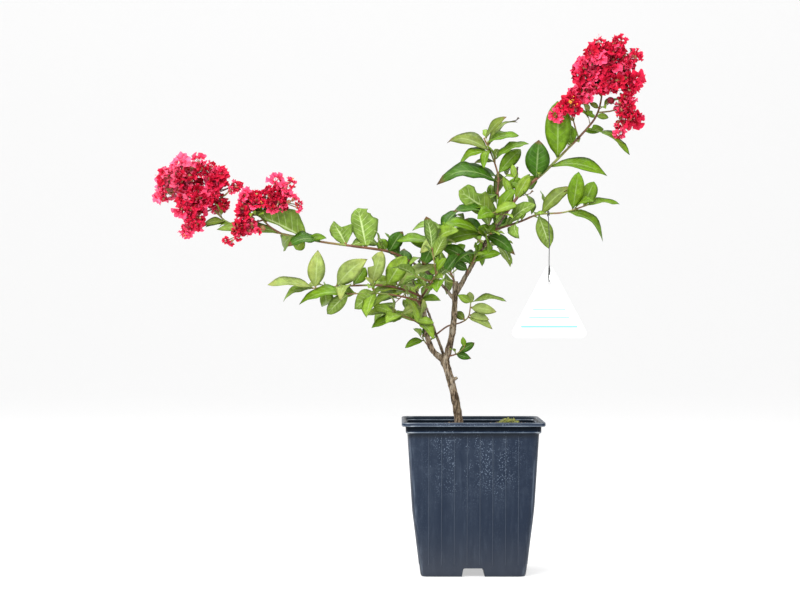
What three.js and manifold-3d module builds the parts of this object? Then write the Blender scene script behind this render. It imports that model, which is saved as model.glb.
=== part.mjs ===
// A young crape myrtle in a square nursery pot, with three heads of crimson blossom and a blank
// hanging label. Millimetres, +Z up. The plant is laid out from the middle of the pot's underside:
// +X to the right of the plant's open face, +Y away from it. The whole is then moved so that the
// middle of its own footprint stands on the origin.
import * as THREE from 'three';
import { mergeVertices } from 'three/addons/utils/BufferGeometryUtils.js';
import Module from 'manifold-3d';

const wasm = await Module();
wasm.setup();

// ---- driving dimensions, mm ----
const GAP = 0.3; // air kept between neighbouring pieces
const WELD_DISTANCE = 1e-4;
const POT = {
  rimWidth: 150.5,
  rimWall: 3.2,
  height: 163,
  lipHeight: 4.6,
  lipEdge: 0.6,
  collarWidth: 142,
  collarHeight: 11.5,
  collarLedge: 1,
  bodyWidth: 137.8,
  waistWidth: 128,
  waistHeight: 70,
  footWidth: 110.5,
  footInset: 2,
  footEdge: 2.4,
  wall: 1.7,
  floor: 12,
  channelWidth: 27,
  channelHeight: 9,
  channelSlope: 3,
  cornerRadius: 9,
  cornerSteps: 4,
};
const SOIL_LEVEL = 155;
const MOSS = { middle: [40, 28], halfWidth: 11, halfDepth: 9, height: 8 };
const LABEL = {
  base: 88,
  height: 84,
  corner: 7.3,
  thickness: 1.2,
  holeRadius: 2.7,
  holeDrop: 26, // below the point where the two sides would meet
  apex: [81.8, -20, 335],
};
const WIRE = { radius: 0.5, top: [81, -21.5, 379.4], knotRadius: 1.5, twistLength: 9, slack: 0.7 };
const LEAF = {
  thickness: 0.8,
  petiole: 0.9,
  petioleShare: 0.18, // share of a leaf's length that may lie against its neighbours
  leastRatio: 0.4,
  depthTurn: 26, // degrees
  depthSwing: 9, // degrees more with each try
  mostDepth: 50,
  tries: 9,
  lastShare: 0.985,
  plainBelow: 40, // shorter leaves have one station fewer
};
const TWIG = { length: 26, radius: 0.9, leaves: 3, lift: 0.15 };
const FLOWER = {
  thickness: 1.6,
  ruffle: 3,
  spread: 1.1,
  nearest: 6, // from the head's middle plane
  scatter: 5,
  step: 3.2, // further out with each try
  tries: 10,
};
const STALK = {
  radius: 0.8,
  branchRadius: 1,
  shoulder: 0.12, // share of a stalk's length that each pointed end takes
  least: 7,
  inset: 0.7,
  aside: 1.8, // from a blossom's middle
};

// ---- seeded draws ----
function seededDraws(seed) {
  let state = seed >>> 0;
  return () => {
    state = (state + 0x6d2b79f5) >>> 0;
    let mixed = Math.imul(state ^ (state >>> 15), state | 1);
    mixed = (mixed + Math.imul(mixed ^ (mixed >>> 7), mixed | 61)) ^ mixed;
    return ((mixed ^ (mixed >>> 14)) >>> 0) / 4294967296;
  };
}

const radians = THREE.MathUtils.degToRad;
const vec = (point) => new THREE.Vector3(...point);

// ---- solids ----
// A geometry with positions only, and each corner once.
function weld(geometry) {
  geometry.deleteAttribute('normal');
  geometry.deleteAttribute('uv');
  return mergeVertices(geometry, WELD_DISTANCE);
}

// The closed solid of a geometry. Triangles that lie on an axis or a pole have no area and go.
function solidOf(geometry) {
  const welded = weld(geometry);
  const index = welded.index.array;
  const kept = [];
  for (let i = 0; i < index.length; i += 3) {
    const [a, b, c] = [index[i], index[i + 1], index[i + 2]];
    if (a !== b && b !== c && c !== a) kept.push(a, b, c);
  }
  return new wasm.Manifold(new wasm.Mesh({
    numProp: 3,
    vertProperties: new Float32Array(welded.attributes.position.array),
    triVerts: new Uint32Array(kept),
  }));
}

function geometryOf(solid) {
  const mesh = solid.getMesh();
  const geometry = new THREE.BufferGeometry();
  geometry.setAttribute('position', new THREE.BufferAttribute(new Float32Array(mesh.vertProperties), 3));
  geometry.setIndex(new THREE.BufferAttribute(new Uint32Array(mesh.triVerts), 1));
  geometry.computeVertexNormals();
  return geometry;
}

function fuse(solids) {
  return solids.reduce((whole, piece) => whole.add(piece));
}

// The largest body of a solid, without loose scraps or sealed hollows.
function mainBody(solid) {
  const bodies = solid.decompose();
  return bodies.reduce((best, body) => (body.volume() > best.volume() ? body : best));
}

function boxesMeet(first, second) {
  const a = first.boundingBox();
  const b = second.boundingBox();
  return [0, 1, 2].every((axis) => a.min[axis] <= b.max[axis] && b.min[axis] <= a.max[axis]);
}

function touches(first, second) {
  return boxesMeet(first, second) && !first.intersect(second).isEmpty();
}

// A tapering round limb along a smooth curve. `grow` adds to its radius and both its ends.
function limbSolid(curve, { radii, sides = 6, steps = 8, flare = 0 }, grow = 0) {
  const frames = curve.computeFrenetFrames(steps, false);
  const centres = curve.getSpacedPoints(steps);
  centres[0].addScaledVector(frames.tangents[0], -grow);
  centres[steps].addScaledVector(frames.tangents[steps], grow);
  const geometry = new THREE.CylinderGeometry(1, 1, 1, sides, steps);
  const position = geometry.attributes.position;
  for (let i = 0; i < position.count; i += 1) {
    const along = Math.round((position.getY(i) + 0.5) * steps);
    const share = along / steps;
    const swell = flare * Math.exp(-share * 9);
    const radius = THREE.MathUtils.lerp(radii[0], radii[1], share) + swell + grow;
    const place = centres[along].clone()
      .addScaledVector(frames.normals[along], position.getZ(i) * radius)
      .addScaledVector(frames.binormals[along], position.getX(i) * radius);
    position.setXYZ(i, place.x, place.y, place.z);
  }
  return solidOf(geometry);
}

// A thin three-sided stalk from one point to another, drawn out to a point at both ends.
function stalkSolid(from, to, radius) {
  const geometry = new THREE.SphereGeometry(1, 3, 3);
  const position = geometry.attributes.position;
  const along = to.clone().sub(from);
  const down = new THREE.Vector3(0, -1, 0);
  const turn = new THREE.Quaternion().setFromUnitVectors(down, along.clone().normalize());
  for (let i = 0; i < position.count; i += 1) {
    const height = position.getY(i);
    const onRing = Math.abs(height) < 0.9;
    const ringShare = height > 0 ? STALK.shoulder : 1 - STALK.shoulder;
    const share = onRing ? ringShare : (1 - height) / 2;
    const ring = Math.hypot(position.getX(i), position.getZ(i)) || 1;
    const place = new THREE.Vector3(position.getX(i), 0, position.getZ(i))
      .multiplyScalar(onRing ? radius / ring : 0)
      .applyQuaternion(turn)
      .add(from)
      .addScaledVector(along, share);
    position.setXYZ(i, place.x, place.y, place.z);
  }
  return solidOf(geometry);
}

// A leaf: a flattened sphere with four meridians, pointed at both ends. Its outline follows its
// stations, its two halves fold up from the midrib, and the midrib arches.
const FULL_OUTLINE = [
  { at: 0, width: 0 },
  { at: 0.1, width: 0.1 },
  { at: 0.4, width: 1 },
  { at: 0.72, width: 0.86 },
  { at: 1, width: 0 },
];
const PLAIN_OUTLINE = [
  { at: 0, width: 0 },
  { at: 0.38, width: 1 },
  { at: 0.72, width: 0.82 },
  { at: 1, width: 0 },
];

function leafSolid({ base, along, face, length, width, fold, arch, outline = PLAIN_OUTLINE }, grow = 0) {
  const side = new THREE.Vector3().crossVectors(face, along).normalize();
  const stations = outline.length - 1;
  const geometry = new THREE.SphereGeometry(1, 4, stations);
  const position = geometry.attributes.position;
  for (let i = 0; i < position.count; i += 1) {
    const fromTop = Math.acos(THREE.MathUtils.clamp(position.getY(i), -1, 1));
    const station = Math.round((fromTop / Math.PI) * stations);
    const { at, width: share } = outline[station];
    const ring = Math.hypot(position.getX(i), position.getZ(i)) || 1;
    const across = position.getX(i) / ring;
    const through = position.getZ(i) / ring;
    const petiole = station > 0 && station < stations ? LEAF.petiole : 0;
    const halfWidth = Math.max((share * width) / 2, petiole) + grow;
    const thickness = LEAF.thickness / 2 + (share === 0.1 ? LEAF.petiole / 2 : 0) + grow;
    const ends = station === 0 ? -grow : station === stations ? grow : 0;
    const onRim = Math.abs(across) > 0.5;
    const isEnd = station === 0 || station === stations;
    const lift = arch * length * Math.sin(Math.PI * at)
      + (onRim && !isEnd ? fold * halfWidth : 0)
      + (!onRim && !isEnd ? Math.sign(through) * thickness : 0);
    const place = base.clone()
      .addScaledVector(along, at * length + ends)
      .addScaledVector(side, onRim && !isEnd ? Math.sign(across) * halfWidth : 0)
      .addScaledVector(face, lift);
    position.setXYZ(i, place.x, place.y, place.z);
  }
  return solidOf(geometry);
}

// A blossom: a ruffled disc of six petals that opens along `facing`.
function blossomSolid({ centre, facing, radius, draw }) {
  const petals = 6;
  const rim = petals * 2;
  const geometry = new THREE.SphereGeometry(1, rim, 2);
  const position = geometry.attributes.position;
  const turn = new THREE.Quaternion().setFromUnitVectors(new THREE.Vector3(0, 1, 0), facing);
  const reach = Array.from({ length: rim }, () => 0.85 + 0.3 * draw());
  const wave = Array.from({ length: rim }, () => draw() - 0.4);
  for (let i = 0; i < position.count; i += 1) {
    const height = position.getY(i);
    const place = new THREE.Vector3(0, height > 0 ? 0 : -FLOWER.thickness, 0);
    if (Math.abs(height) < 0.5) {
      const angle = Math.atan2(position.getZ(i), position.getX(i));
      const step = ((Math.round((angle / (2 * Math.PI)) * rim) % rim) + rim) % rim;
      const outward = step % 2 === 0 ? 0.55 : 1;
      const far = radius * outward * reach[step];
      place.set(
        Math.cos(angle) * far,
        FLOWER.ruffle * (outward < 1 ? 0 : wave[step] + 0.5),
        Math.sin(angle) * far,
      );
    }
    place.applyQuaternion(turn).add(centre);
    position.setXYZ(i, place.x, place.y, place.z);
  }
  return solidOf(geometry);
}

// ---- the plant's pieces ----
const plant = new THREE.Group();

function addPiece(name, solid, { colour, roughness, metalness = 0 }) {
  const material = new THREE.MeshStandardMaterial({ color: colour, roughness, metalness });
  const mesh = new THREE.Mesh(geometryOf(solid), material);
  mesh.name = name;
  plant.add(mesh);
}

const BARK = { colour: 0x8a7566, roughness: 0.85 };
const GREEN = { colour: 0x5f8f35, roughness: 0.5 };
const CRIMSON = { colour: 0xd3123f, roughness: 0.55 };

// Pot: a turned profile whose rings are pushed out from circles to rounded squares.
function squareRing(step, half, corner) {
  const perCorner = POT.cornerSteps + 1;
  const quarter = Math.floor(step / perCorner) % 4;
  const inCorner = step % perCorner;
  const radius = Math.min(corner, half);
  const angle = radians(quarter * 90 + (inCorner / POT.cornerSteps) * 90);
  const centre = half - radius;
  const signs = [[1, 1], [-1, 1], [-1, -1], [1, -1]][quarter];
  return [
    signs[0] * centre + radius * Math.cos(angle),
    signs[1] * centre + radius * Math.sin(angle),
  ];
}

function squareTurned(profile, corner) {
  const steps = 4 * (POT.cornerSteps + 1);
  const turnedLine = profile.map(([half, z]) => new THREE.Vector2(half, z));
  const geometry = new THREE.LatheGeometry(turnedLine, steps);
  const position = geometry.attributes.position;
  const rows = profile.length;
  for (let i = 0; i < position.count; i += 1) {
    const [half, z] = profile[i % rows];
    const step = Math.floor(i / rows) % steps;
    const [x, y] = half > 0 ? squareRing(step, half, corner * (half / (POT.rimWidth / 2))) : [0, 0];
    position.setXYZ(i, x, y, z);
  }
  return solidOf(geometry);
}

const half = {
  rim: POT.rimWidth / 2,
  collar: POT.collarWidth / 2,
  body: POT.bodyWidth / 2,
  waist: POT.waistWidth / 2,
  foot: POT.footWidth / 2,
};
const collarTop = POT.height - POT.lipHeight;
const collarFoot = POT.height - POT.collarHeight;
const bodyTop = collarFoot - POT.collarLedge;

// The body's wall stands steeper above the waist than below it.
function innerHalfAt(z) {
  const outer = z < POT.waistHeight
    ? THREE.MathUtils.lerp(half.foot, half.waist, z / POT.waistHeight)
    : THREE.MathUtils.mapLinear(z, POT.waistHeight, bodyTop, half.waist, half.body);
  return outer - POT.wall;
}

function potSolid() {
  const collarInner = half.collar - POT.wall;
  const profile = [
    [0, 0],
    [half.foot - POT.footInset, 0],
    [half.foot, POT.footEdge],
    [half.waist, POT.waistHeight],
    [half.body, bodyTop],
    [half.collar, collarFoot],
    [half.collar, collarTop],
    [half.rim, collarTop + POT.lipEdge],
    [half.rim, POT.height - POT.lipEdge],
    [half.rim - POT.lipEdge, POT.height],
    [half.rim - POT.rimWall, POT.height],
    [collarInner, POT.height - POT.rimWall],
    [collarInner, collarFoot + POT.collarLedge],
    [innerHalfAt(bodyTop), bodyTop],
    [innerHalfAt(POT.waistHeight), POT.waistHeight],
    [innerHalfAt(POT.floor), POT.floor],
    [0, POT.floor],
  ];
  const shell = squareTurned(profile, POT.cornerRadius);
  const channelOutline = new THREE.Shape();
  const foot = POT.channelWidth / 2;
  channelOutline.moveTo(-foot - 1, -1);
  channelOutline.lineTo(foot + 1, -1);
  channelOutline.lineTo(foot, 0);
  channelOutline.lineTo(foot - POT.channelSlope, POT.channelHeight);
  channelOutline.lineTo(-foot + POT.channelSlope, POT.channelHeight);
  channelOutline.lineTo(-foot, 0);
  const channel = new THREE.ExtrudeGeometry(channelOutline, {
    depth: POT.rimWidth,
    bevelEnabled: false,
  });
  channel.translate(0, 0, -POT.rimWidth / 2);
  channel.rotateX(Math.PI / 2);
  const across = channel.clone().rotateZ(Math.PI / 2);
  return shell.subtract(solidOf(channel)).subtract(solidOf(across));
}
addPiece('pot', potSolid(), { colour: 0x2b303c, roughness: 0.45 });

function soilSolid() {
  const bottom = POT.floor + GAP;
  const top = SOIL_LEVEL;
  const clear = GAP * 1.5;
  return squareTurned([
    [0, bottom],
    [innerHalfAt(bottom) - clear, bottom],
    [innerHalfAt(POT.waistHeight) - clear, POT.waistHeight],
    [innerHalfAt(bodyTop) - clear, bodyTop],
    [innerHalfAt(bodyTop) - clear, top],
    [0, top],
  ], POT.cornerRadius);
}
addPiece('soil', soilSolid(), { colour: 0x3b2f26, roughness: 0.95 });

function mossSolid() {
  const draw = seededDraws(3);
  const mound = weld(new THREE.SphereGeometry(1, 9, 5));
  const position = mound.attributes.position;
  for (let i = 0; i < position.count; i += 1) {
    const lump = 0.8 + 0.4 * draw();
    position.setXYZ(
      i,
      MOSS.middle[0] + MOSS.halfWidth * lump * position.getX(i),
      MOSS.middle[1] - MOSS.halfDepth * lump * position.getZ(i),
      SOIL_LEVEL + GAP + Math.max(0, MOSS.height * lump * position.getY(i)),
    );
  }
  return solidOf(mound);
}
addPiece('moss_tuft', mossSolid(), { colour: 0x8f9a3a, roughness: 0.9 });

// ---- woody limbs ----
// Each is one tapering limb. `springs` names the limb and the share of its length, from 0 at its
// foot to 1 at its tip, where this one starts; the rest of its route follows. A stub is a short
// side branch that was cut back.
const LIMBS = {
  trunk: {
    route: [[-13, 0, 151], [-16.5, -1, 178], [-22, -2, 202], [-28.5, 0, 225]],
    radii: [4.1, 4.3], sides: 9, steps: 10, flare: 1.4,
    stubs: [{ route: [[-21, -2, 204], [-15.8, -3, 208]], radii: [2, 1.6] }],
  },
  left_stem: {
    springs: ['trunk', 1],
    route: [
      [-41.4, -3, 236.2], [-46.8, -5, 248], [-49.5, -7, 264], [-51.6, -9, 280], [-54.5, -11, 296],
    ],
    radii: [3.2, 2.5], sides: 8, steps: 10,
    stubs: [{ route: [[-55, -11, 290], [-61, -13, 305], [-66.5, -15, 317]], radii: [1.3, 0.8] }],
  },
  right_stem: {
    springs: ['trunk', 1],
    route: [[-25.8, 1, 233], [-21, 2, 255], [-18.6, 4, 277], [-17.3, 6, 311]],
    radii: [3.6, 2.8], sides: 8, steps: 10,
  },
  middle_stem: {
    springs: ['trunk', 0.98],
    route: [[-32.7, 6, 239], [-38.5, 8, 254], [-46, 3, 276], [-52, -2, 290]],
    radii: [1.8, 1.2], sides: 6, steps: 8,
  },
  right_bough: {
    springs: ['right_stem', 0.82],
    route: [[-5, 8, 319], [9, 11, 343], [26, 14, 368.6], [38, 15, 385.5]],
    radii: [2.6, 1.9], sides: 7, steps: 9,
  },
  left_bough: {
    springs: ['right_stem', 0.76],
    route: [[-31.3, 0, 306.4], [-51.6, -6, 323.5], [-65, -8, 331.5]],
    radii: [1.8, 1.5], sides: 6, steps: 7,
  },
};

const curves = {}; // the middle line of every limb and foliage stem, by name
const placed = []; // every piece so far, with a copy `grown` by the gap that new stems are cut by

function curveOf({ springs, route }) {
  const start = springs ? [curves[springs[0]].getPointAt(springs[1])] : [];
  return new THREE.CatmullRomCurve3([...start, ...route.map(vec)]);
}

function cutClear(solid) {
  return placed
    .filter(({ grown }) => grown && boxesMeet(grown, solid))
    .reduce((left, { grown }) => left.subtract(grown), solid);
}

for (const [name, limb] of Object.entries(LIMBS)) {
  curves[name] = curveOf(limb);
  const stubs = (limb.stubs ?? []).map((stub) => ({ sides: 5, steps: 3, ...stub }));
  const whole = (grow) => fuse([
    limbSolid(curves[name], limb, grow),
    ...stubs.map((stub) => limbSolid(curveOf(stub), stub, grow)),
  ]);
  const solid = mainBody(cutClear(whole(0)).trimByPlane([0, 0, 1], SOIL_LEVEL + GAP));
  placed.push({ name, solid, grown: whole(GAP) });
  addPiece(name, solid, BARK);
}

// ---- hanging label ----
function labelSolid() {
  const [x, y, z] = LABEL.apex;
  const slope = Math.atan2(LABEL.base / 2, LABEL.height); // half the angle at the top corner
  const topCentre = -LABEL.corner / Math.sin(slope);
  const footCentreX = LABEL.base / 2 - LABEL.corner / Math.tan((Math.PI / 2 - slope) / 2);
  const footCentreZ = LABEL.corner - LABEL.height;
  const outline = new THREE.Shape();
  outline.absarc(0, topCentre, LABEL.corner, slope, Math.PI - slope, false);
  outline.absarc(-footCentreX, footCentreZ, LABEL.corner, Math.PI - slope, Math.PI * 1.5, false);
  outline.absarc(footCentreX, footCentreZ, LABEL.corner, -Math.PI / 2, slope, false);
  const hole = new THREE.Path();
  hole.absarc(0, -LABEL.holeDrop, LABEL.holeRadius, 0, Math.PI * 2, true);
  outline.holes.push(hole);
  const plate = new THREE.ExtrudeGeometry(outline, {
    depth: LABEL.thickness,
    bevelEnabled: false,
    curveSegments: 5,
  });
  plate.rotateX(Math.PI / 2);
  plate.translate(x, y + LABEL.thickness / 2, z);
  return solidOf(plate);
}

// The wire hangs from a knot under its twig. It is twisted where it meets the label, runs down
// the label's face, through the hole at the hole's upper edge, and back over the top corner.
function wireSolid() {
  const [x, y, z] = LABEL.apex;
  const off = LABEL.thickness / 2 + WIRE.radius + WIRE.slack;
  const holeTop = z - LABEL.holeDrop + LABEL.holeRadius;
  const slope = Math.atan2(LABEL.base / 2, LABEL.height);
  const labelTop = z - LABEL.corner * (1 / Math.sin(slope) - 1);
  const loop = [
    [x, y - off, labelTop - WIRE.twistLength / 2],
    [x, y - off, holeTop + WIRE.slack],
    [x, y, holeTop - WIRE.radius - WIRE.slack],
    [x, y + off, holeTop + WIRE.slack],
    [x, y + off, labelTop - WIRE.slack],
    [x, y, labelTop + WIRE.radius + WIRE.slack],
    [x, y - off, labelTop - WIRE.slack],
  ];
  const tube = (route, radius, sides, steps) => (
    limbSolid(curveOf({ route }), { radii: [radius, radius], sides, steps })
  );
  const twistTop = [x, y - off - GAP, labelTop + 0.5];
  const twistFoot = [x, y - off - GAP, labelTop + 0.5 - WIRE.twistLength];
  const knot = new THREE.SphereGeometry(WIRE.knotRadius, 6, 4);
  knot.translate(...WIRE.top);
  return fuse([
    tube(loop, WIRE.radius, 4, 22),
    tube([twistTop, twistFoot], WIRE.radius * 1.5, 5, 1),
    tube([WIRE.top, [x, y - off - GAP, labelTop - 1]], WIRE.radius, 4, 1),
    solidOf(knot),
  ]);
}

// ---- foliage and blossom ----
// Every mass is one stem with what grows on it.
//   leaves: [share of the stem's length, heading, length, width]. The heading is in degrees as
//     seen from the open face, from +X towards +Z, and length and width are as seen from there.
//   fill: leaves by seeded draws that head mostly towards or away from the open face.
//   twigs: side twigs by seeded draws, each with its own leaves.
//   hearts: [share of the stem's length, x, y, z], the points that blossom stalks spread from.
//   blossoms: [x, z, reach] of each blossom on the open side; `behind` is how many more stand
//     behind them.
const MASSES = {
  right_arm: {
    springs: ['right_bough', 1],
    route: [[55, 20, 408], [80, 26, 430], [105, 33, 455], [116, 36, 466]],
    radii: [1.9, 1.3], fill: 4, seed: 11,
    leaves: [[0.05, 100, 36, 12], [0.14, 60, 34, 14], [0.3, 159, 20, 13], [0.43, 86, 43, 27],
      [0.61, -10, 62, 14], [0.72, 90, 63, 29], [0.93, 107, 24, 15]],
  },
  right_flower_head: {
    springs: ['right_arm', 1],
    route: [[126, 37, 477], [136, 38, 490], [142, 40, 508], [144, 40, 550]],
    radii: [1.3, 0.8], seed: 31,
    leaves: [[0.12, 8, 22, 10], [0.15, -32, 54, 8], [0.33, 150, 12, 7], [0.35, -5, 14, 7],
      [0.45, 150, 12, 6]],
    hearts: [[0.02, 111, 33, 488], [0.4, 165, 40, 500], [0.6, 130, 40, 528], [0.7, 166, 40, 530]],
    blossoms: [[138, 570, 10], [162, 571, 10], [147, 561, 11], [131, 553, 12], [164, 552, 13],
      [179, 555, 9], [120, 537, 13], [136, 540, 11], [151, 527, 11], [178, 527, 13], [117, 516, 10],
      [107, 502, 13], [92, 491, 9], [171, 506, 10], [173, 486, 13], [160, 472, 8], [153, 545, 11],
      [130, 521, 9]],
    behind: 10,
  },
  left_arm: {
    springs: ['left_bough', 1],
    route: [[-87, -12, 342], [-125, -18, 348], [-162, -24, 353], [-206, -30, 362]],
    radii: [1.6, 1.1], fill: 4, seed: 14,
    leaves: [[0.1, 130, 18, 14], [0.18, 56, 26, 16], [0.2, 122, 15, 13], [0.35, 102, 45, 29],
      [0.5, 118, 30, 26], [0.78, 3, 20, 8], [0.8, 154, 61, 24], [0.81, 233, 15, 14],
      [0.97, 177, 63, 10]],
  },
  left_flower_head: {
    springs: ['left_arm', 1],
    route: [[-231, -31, 367], [-258, -30, 372], [-271, -28, 383], [-288, -28, 402]],
    radii: [1.2, 0.8], seed: 32,
    leaves: [[0.5, 184, 30, 6], [0.6, 190, 24, 8], [0.85, 150, 14, 8]],
    hearts: [[0.7, -278, -28, 412], [0.95, -306, -28, 414], [0.8, -294, -28, 382]],
    blossoms: [[-323, 422, 13], [-308, 435, 11], [-290, 437, 10], [-328, 404, 11], [-277, 432, 6],
      [-268, 420, 12], [-252, 412, 7], [-310, 417, 11], [-288, 398, 13], [-301, 388, 12], [-264, 392, 7],
      [-292, 376, 10], [-303, 363, 8], [-277, 409, 8]],
    behind: 8,
  },
  second_flower_head: {
    springs: ['left_arm', 0.98],
    route: [[-214, -34, 368], [-223, -40, 377], [-231, -42, 389]],
    radii: [1.1, 0.8], seed: 33,
    leaves: [[0.5, 100, 14, 8], [0.8, 80, 14, 8]],
    hearts: [[0.5, -200, -42, 399], [0.6, -239, -40, 372]],
    blossoms: [[-240, 401, 9], [-228, 396, 8], [-242, 383, 9], [-245, 370, 10], [-233, 368, 8],
      [-255, 352, 5], [-247, 357, 5], [-207, 415, 11], [-197, 409, 9], [-203, 401, 9],
      [-184, 391, 7]],
    behind: 5,
  },
  top_shoot: {
    springs: ['right_bough', 0.96],
    route: [[29, 26, 407], [30, 30, 423], [24, 32, 445], [14, 30, 467]],
    radii: [1.3, 0.8], fill: 3, seed: 12,
    leaves: [[0.44, 175, 66, 18], [0.5, 168, 56, 11], [0.54, 47, 39, 16], [0.69, 183, 22, 6],
      [0.71, 26, 42, 9], [0.8, 194, 37, 9], [0.83, 162, 50, 16], [0.88, 50, 44, 9],
      [0.93, 12, 36, 10], [0.98, 46, 33, 8]],
  },
  side_shoot: {
    springs: ['right_bough', 0.78],
    route: [[52, -8, 375], [70, -16, 382], [97, -24, 384], [123, -30, 392]],
    radii: [1.3, 0.8], fill: 3, seed: 13,
    leaves: [[0.15, 37, 37, 13], [0.51, -71, 39, 18], [0.53, 42, 43, 15], [0.78, -29, 49, 11],
      [0.84, 82, 40, 18], [0.95, 66, 29, 17], [0.97, 2, 37, 7]],
  },
  low_left_shoot: {
    springs: ['left_stem', 0.98],
    route: [[-70, -18, 301], [-93, -26, 306], [-126, -34, 306], [-170, -42, 303]],
    radii: [1.4, 0.8], fill: 4, seed: 15,
    leaves: [[0.14, 200, 42, 9], [0.2, 187, 33, 8], [0.25, 29, 51, 11], [0.34, 56, 38, 21],
      [0.48, 72, 38, 18], [0.64, 55, 24, 15], [0.79, 42, 42, 21], [0.97, 86, 40, 19],
      [0.99, 176, 48, 10], [1, 196, 36, 9], [0.06, -2, 23, 9]],
  },
  low_left_twig: {
    springs: ['left_stem', 0.9],
    route: [[-73, -26, 294], [-102, -40, 298], [-132, -50, 297]],
    radii: [1.2, 0.7], fill: 4, seed: 16,
    leaves: [[0.33, 193, 30, 10], [0.64, 215, 29, 21], [0.98, 222, 32, 15], [1, 191, 54, 12],
      [0.04, 3, 22, 8]],
  },
  low_left_spray: {
    springs: ['left_stem', 0.55],
    route: [[-62, -22, 269], [-74, -34, 274], [-88, -44, 278]],
    radii: [1.1, 0.7], fill: 4, seed: 17,
    leaves: [[0.25, 159, 31, 10], [0.4, -8, 22, 9], [0.65, 199, 37, 11], [0.72, 22, 23, 9],
      [0.9, 161, 23, 9]],
  },
  bough_spray_low: {
    springs: ['right_bough', 0.25],
    route: [[-4, -8, 323], [1, -20, 331]],
    radii: [1.2, 0.8], fill: 2, seed: 18,
    leaves: [[0.9, 150, 37, 14], [0.5, 154, 18, 10], [0.97, 19, 32, 11]],
  },
  bough_spray_mid: {
    springs: ['right_bough', 0.66],
    route: [[15, -6, 360], [8, -20, 362]],
    radii: [1.3, 0.8], fill: 4, seed: 19,
    leaves: [[0.45, -32, 34, 14], [0.6, 47, 16, 9], [0.7, 190, 30, 10], [0.8, 139, 25, 14],
      [0.9, 193, 44, 15], [1, 168, 40, 12]],
  },
  bough_spray_top: {
    springs: ['right_bough', 0.88],
    route: [[27, -2, 381], [22, -16, 384]],
    radii: [1.3, 0.8], fill: 3, seed: 20,
    leaves: [[0.3, 146, 50, 26], [0.7, 176, 46, 9], [0.6, 55, 34, 12], [0.9, 20, 26, 10]],
  },
  centre_left_shoot: {
    springs: ['left_bough', 0.72],
    route: [[-47, -16, 342], [-38, -24, 355], [-28, -28, 367]],
    radii: [1.3, 0.8], fill: 4, seed: 21,
    leaves: [[0.2, 52, 40, 16], [0.45, 143, 30, 13], [0.5, 60, 28, 13], [0.62, 175, 40, 10],
      [0.7, -118, 30, 16], [0.85, 222, 30, 13], [0.93, 41, 29, 9], [0.97, 174, 34, 8]],
  },
  crossing_twig: {
    springs: ['middle_stem', 0.45],
    route: [[-25, 13, 263], [-13, 12, 266], [-4, 4, 272], [-1, -6, 289]],
    radii: [1, 0.6], fill: 3, seed: 22,
    leaves: [[0.6, 142, 14, 9], [0.68, -25, 29, 10], [0.73, -12, 22, 10], [0.88, -9, 28, 12],
      [0.96, 95, 13, 9], [1, 2, 39, 6], [0.98, 150, 16, 9]],
  },
  low_right_twig: {
    springs: ['right_stem', 0.06],
    route: [[-15, -8, 234], [-8, -14, 241]],
    radii: [1, 0.6], seed: 23,
    leaves: [[0.6, 33, 20, 9], [0.45, -16, 17, 8], [1, 100, 11, 6]],
  },
  low_stem_twig: {
    springs: ['left_stem', 0.22],
    route: [[-51, 2, 247], [-53, -2, 252]],
    radii: [0.9, 0.6], seed: 24,
    leaves: [[0.7, 200, 22, 8], [1, 60, 16, 8]],
  },
  back_left_shoot: {
    springs: ['left_stem', 0.8],
    route: [[-60, 24, 292], [-68, 50, 302], [-76, 76, 310]],
    radii: [1.4, 0.8], twigs: 5, seed: 25,
  },
  back_middle_shoot: {
    springs: ['right_stem', 0.9],
    route: [[-19, 34, 314], [-24, 58, 326], [-26, 84, 336]],
    radii: [1.5, 0.8], twigs: 5, seed: 26,
  },
  back_right_shoot: {
    springs: ['right_bough', 0.6],
    route: [[16, 38, 350], [20, 60, 358], [22, 82, 364]],
    radii: [1.4, 0.8], twigs: 5, seed: 27,
  },
  front_shoot: {
    springs: ['left_stem', 0.97],
    route: [[-47, -34, 304], [-42, -54, 312], [-38, -72, 320]],
    radii: [1.3, 0.8], twigs: 4, seed: 28,
  },
};

// Where the open air shows through the crown, as seen from the open face: least and most x, least
// and most z. Leaves by seeded draws keep out of these spots.
const OPEN_SPOTS = [
  [-24, 44, 243, 329],
  [-49, -24, 256, 294],
  [-112, -53, 200, 251],
  [84, 167, 400, 452],
  [50, 165, 322, 377],
  [-195, -93, 316, 344],
];
const GOLDEN_ANGLE = Math.PI * (3 - Math.sqrt(5));
const OPEN_SIDE = new THREE.Vector3(0, -1, 0);

// A leaf's direction and the direction its upper face looks in. The face looks to the open side,
// rolled upwards about the leaf's length.
function leafFrame(heading, depth, roll) {
  const flat = Math.cos(radians(depth));
  const along = new THREE.Vector3(
    Math.cos(radians(heading)) * flat,
    Math.sin(radians(depth)),
    Math.sin(radians(heading)) * flat,
  );
  const face = OPEN_SIDE.clone().addScaledVector(along, -OPEN_SIDE.dot(along)).normalize();
  const upper = new THREE.Vector3().crossVectors(along, face);
  if (upper.z < 0) upper.negate();
  face.multiplyScalar(Math.cos(roll)).addScaledVector(upper, Math.sin(roll)).normalize();
  return { along, face };
}

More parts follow.
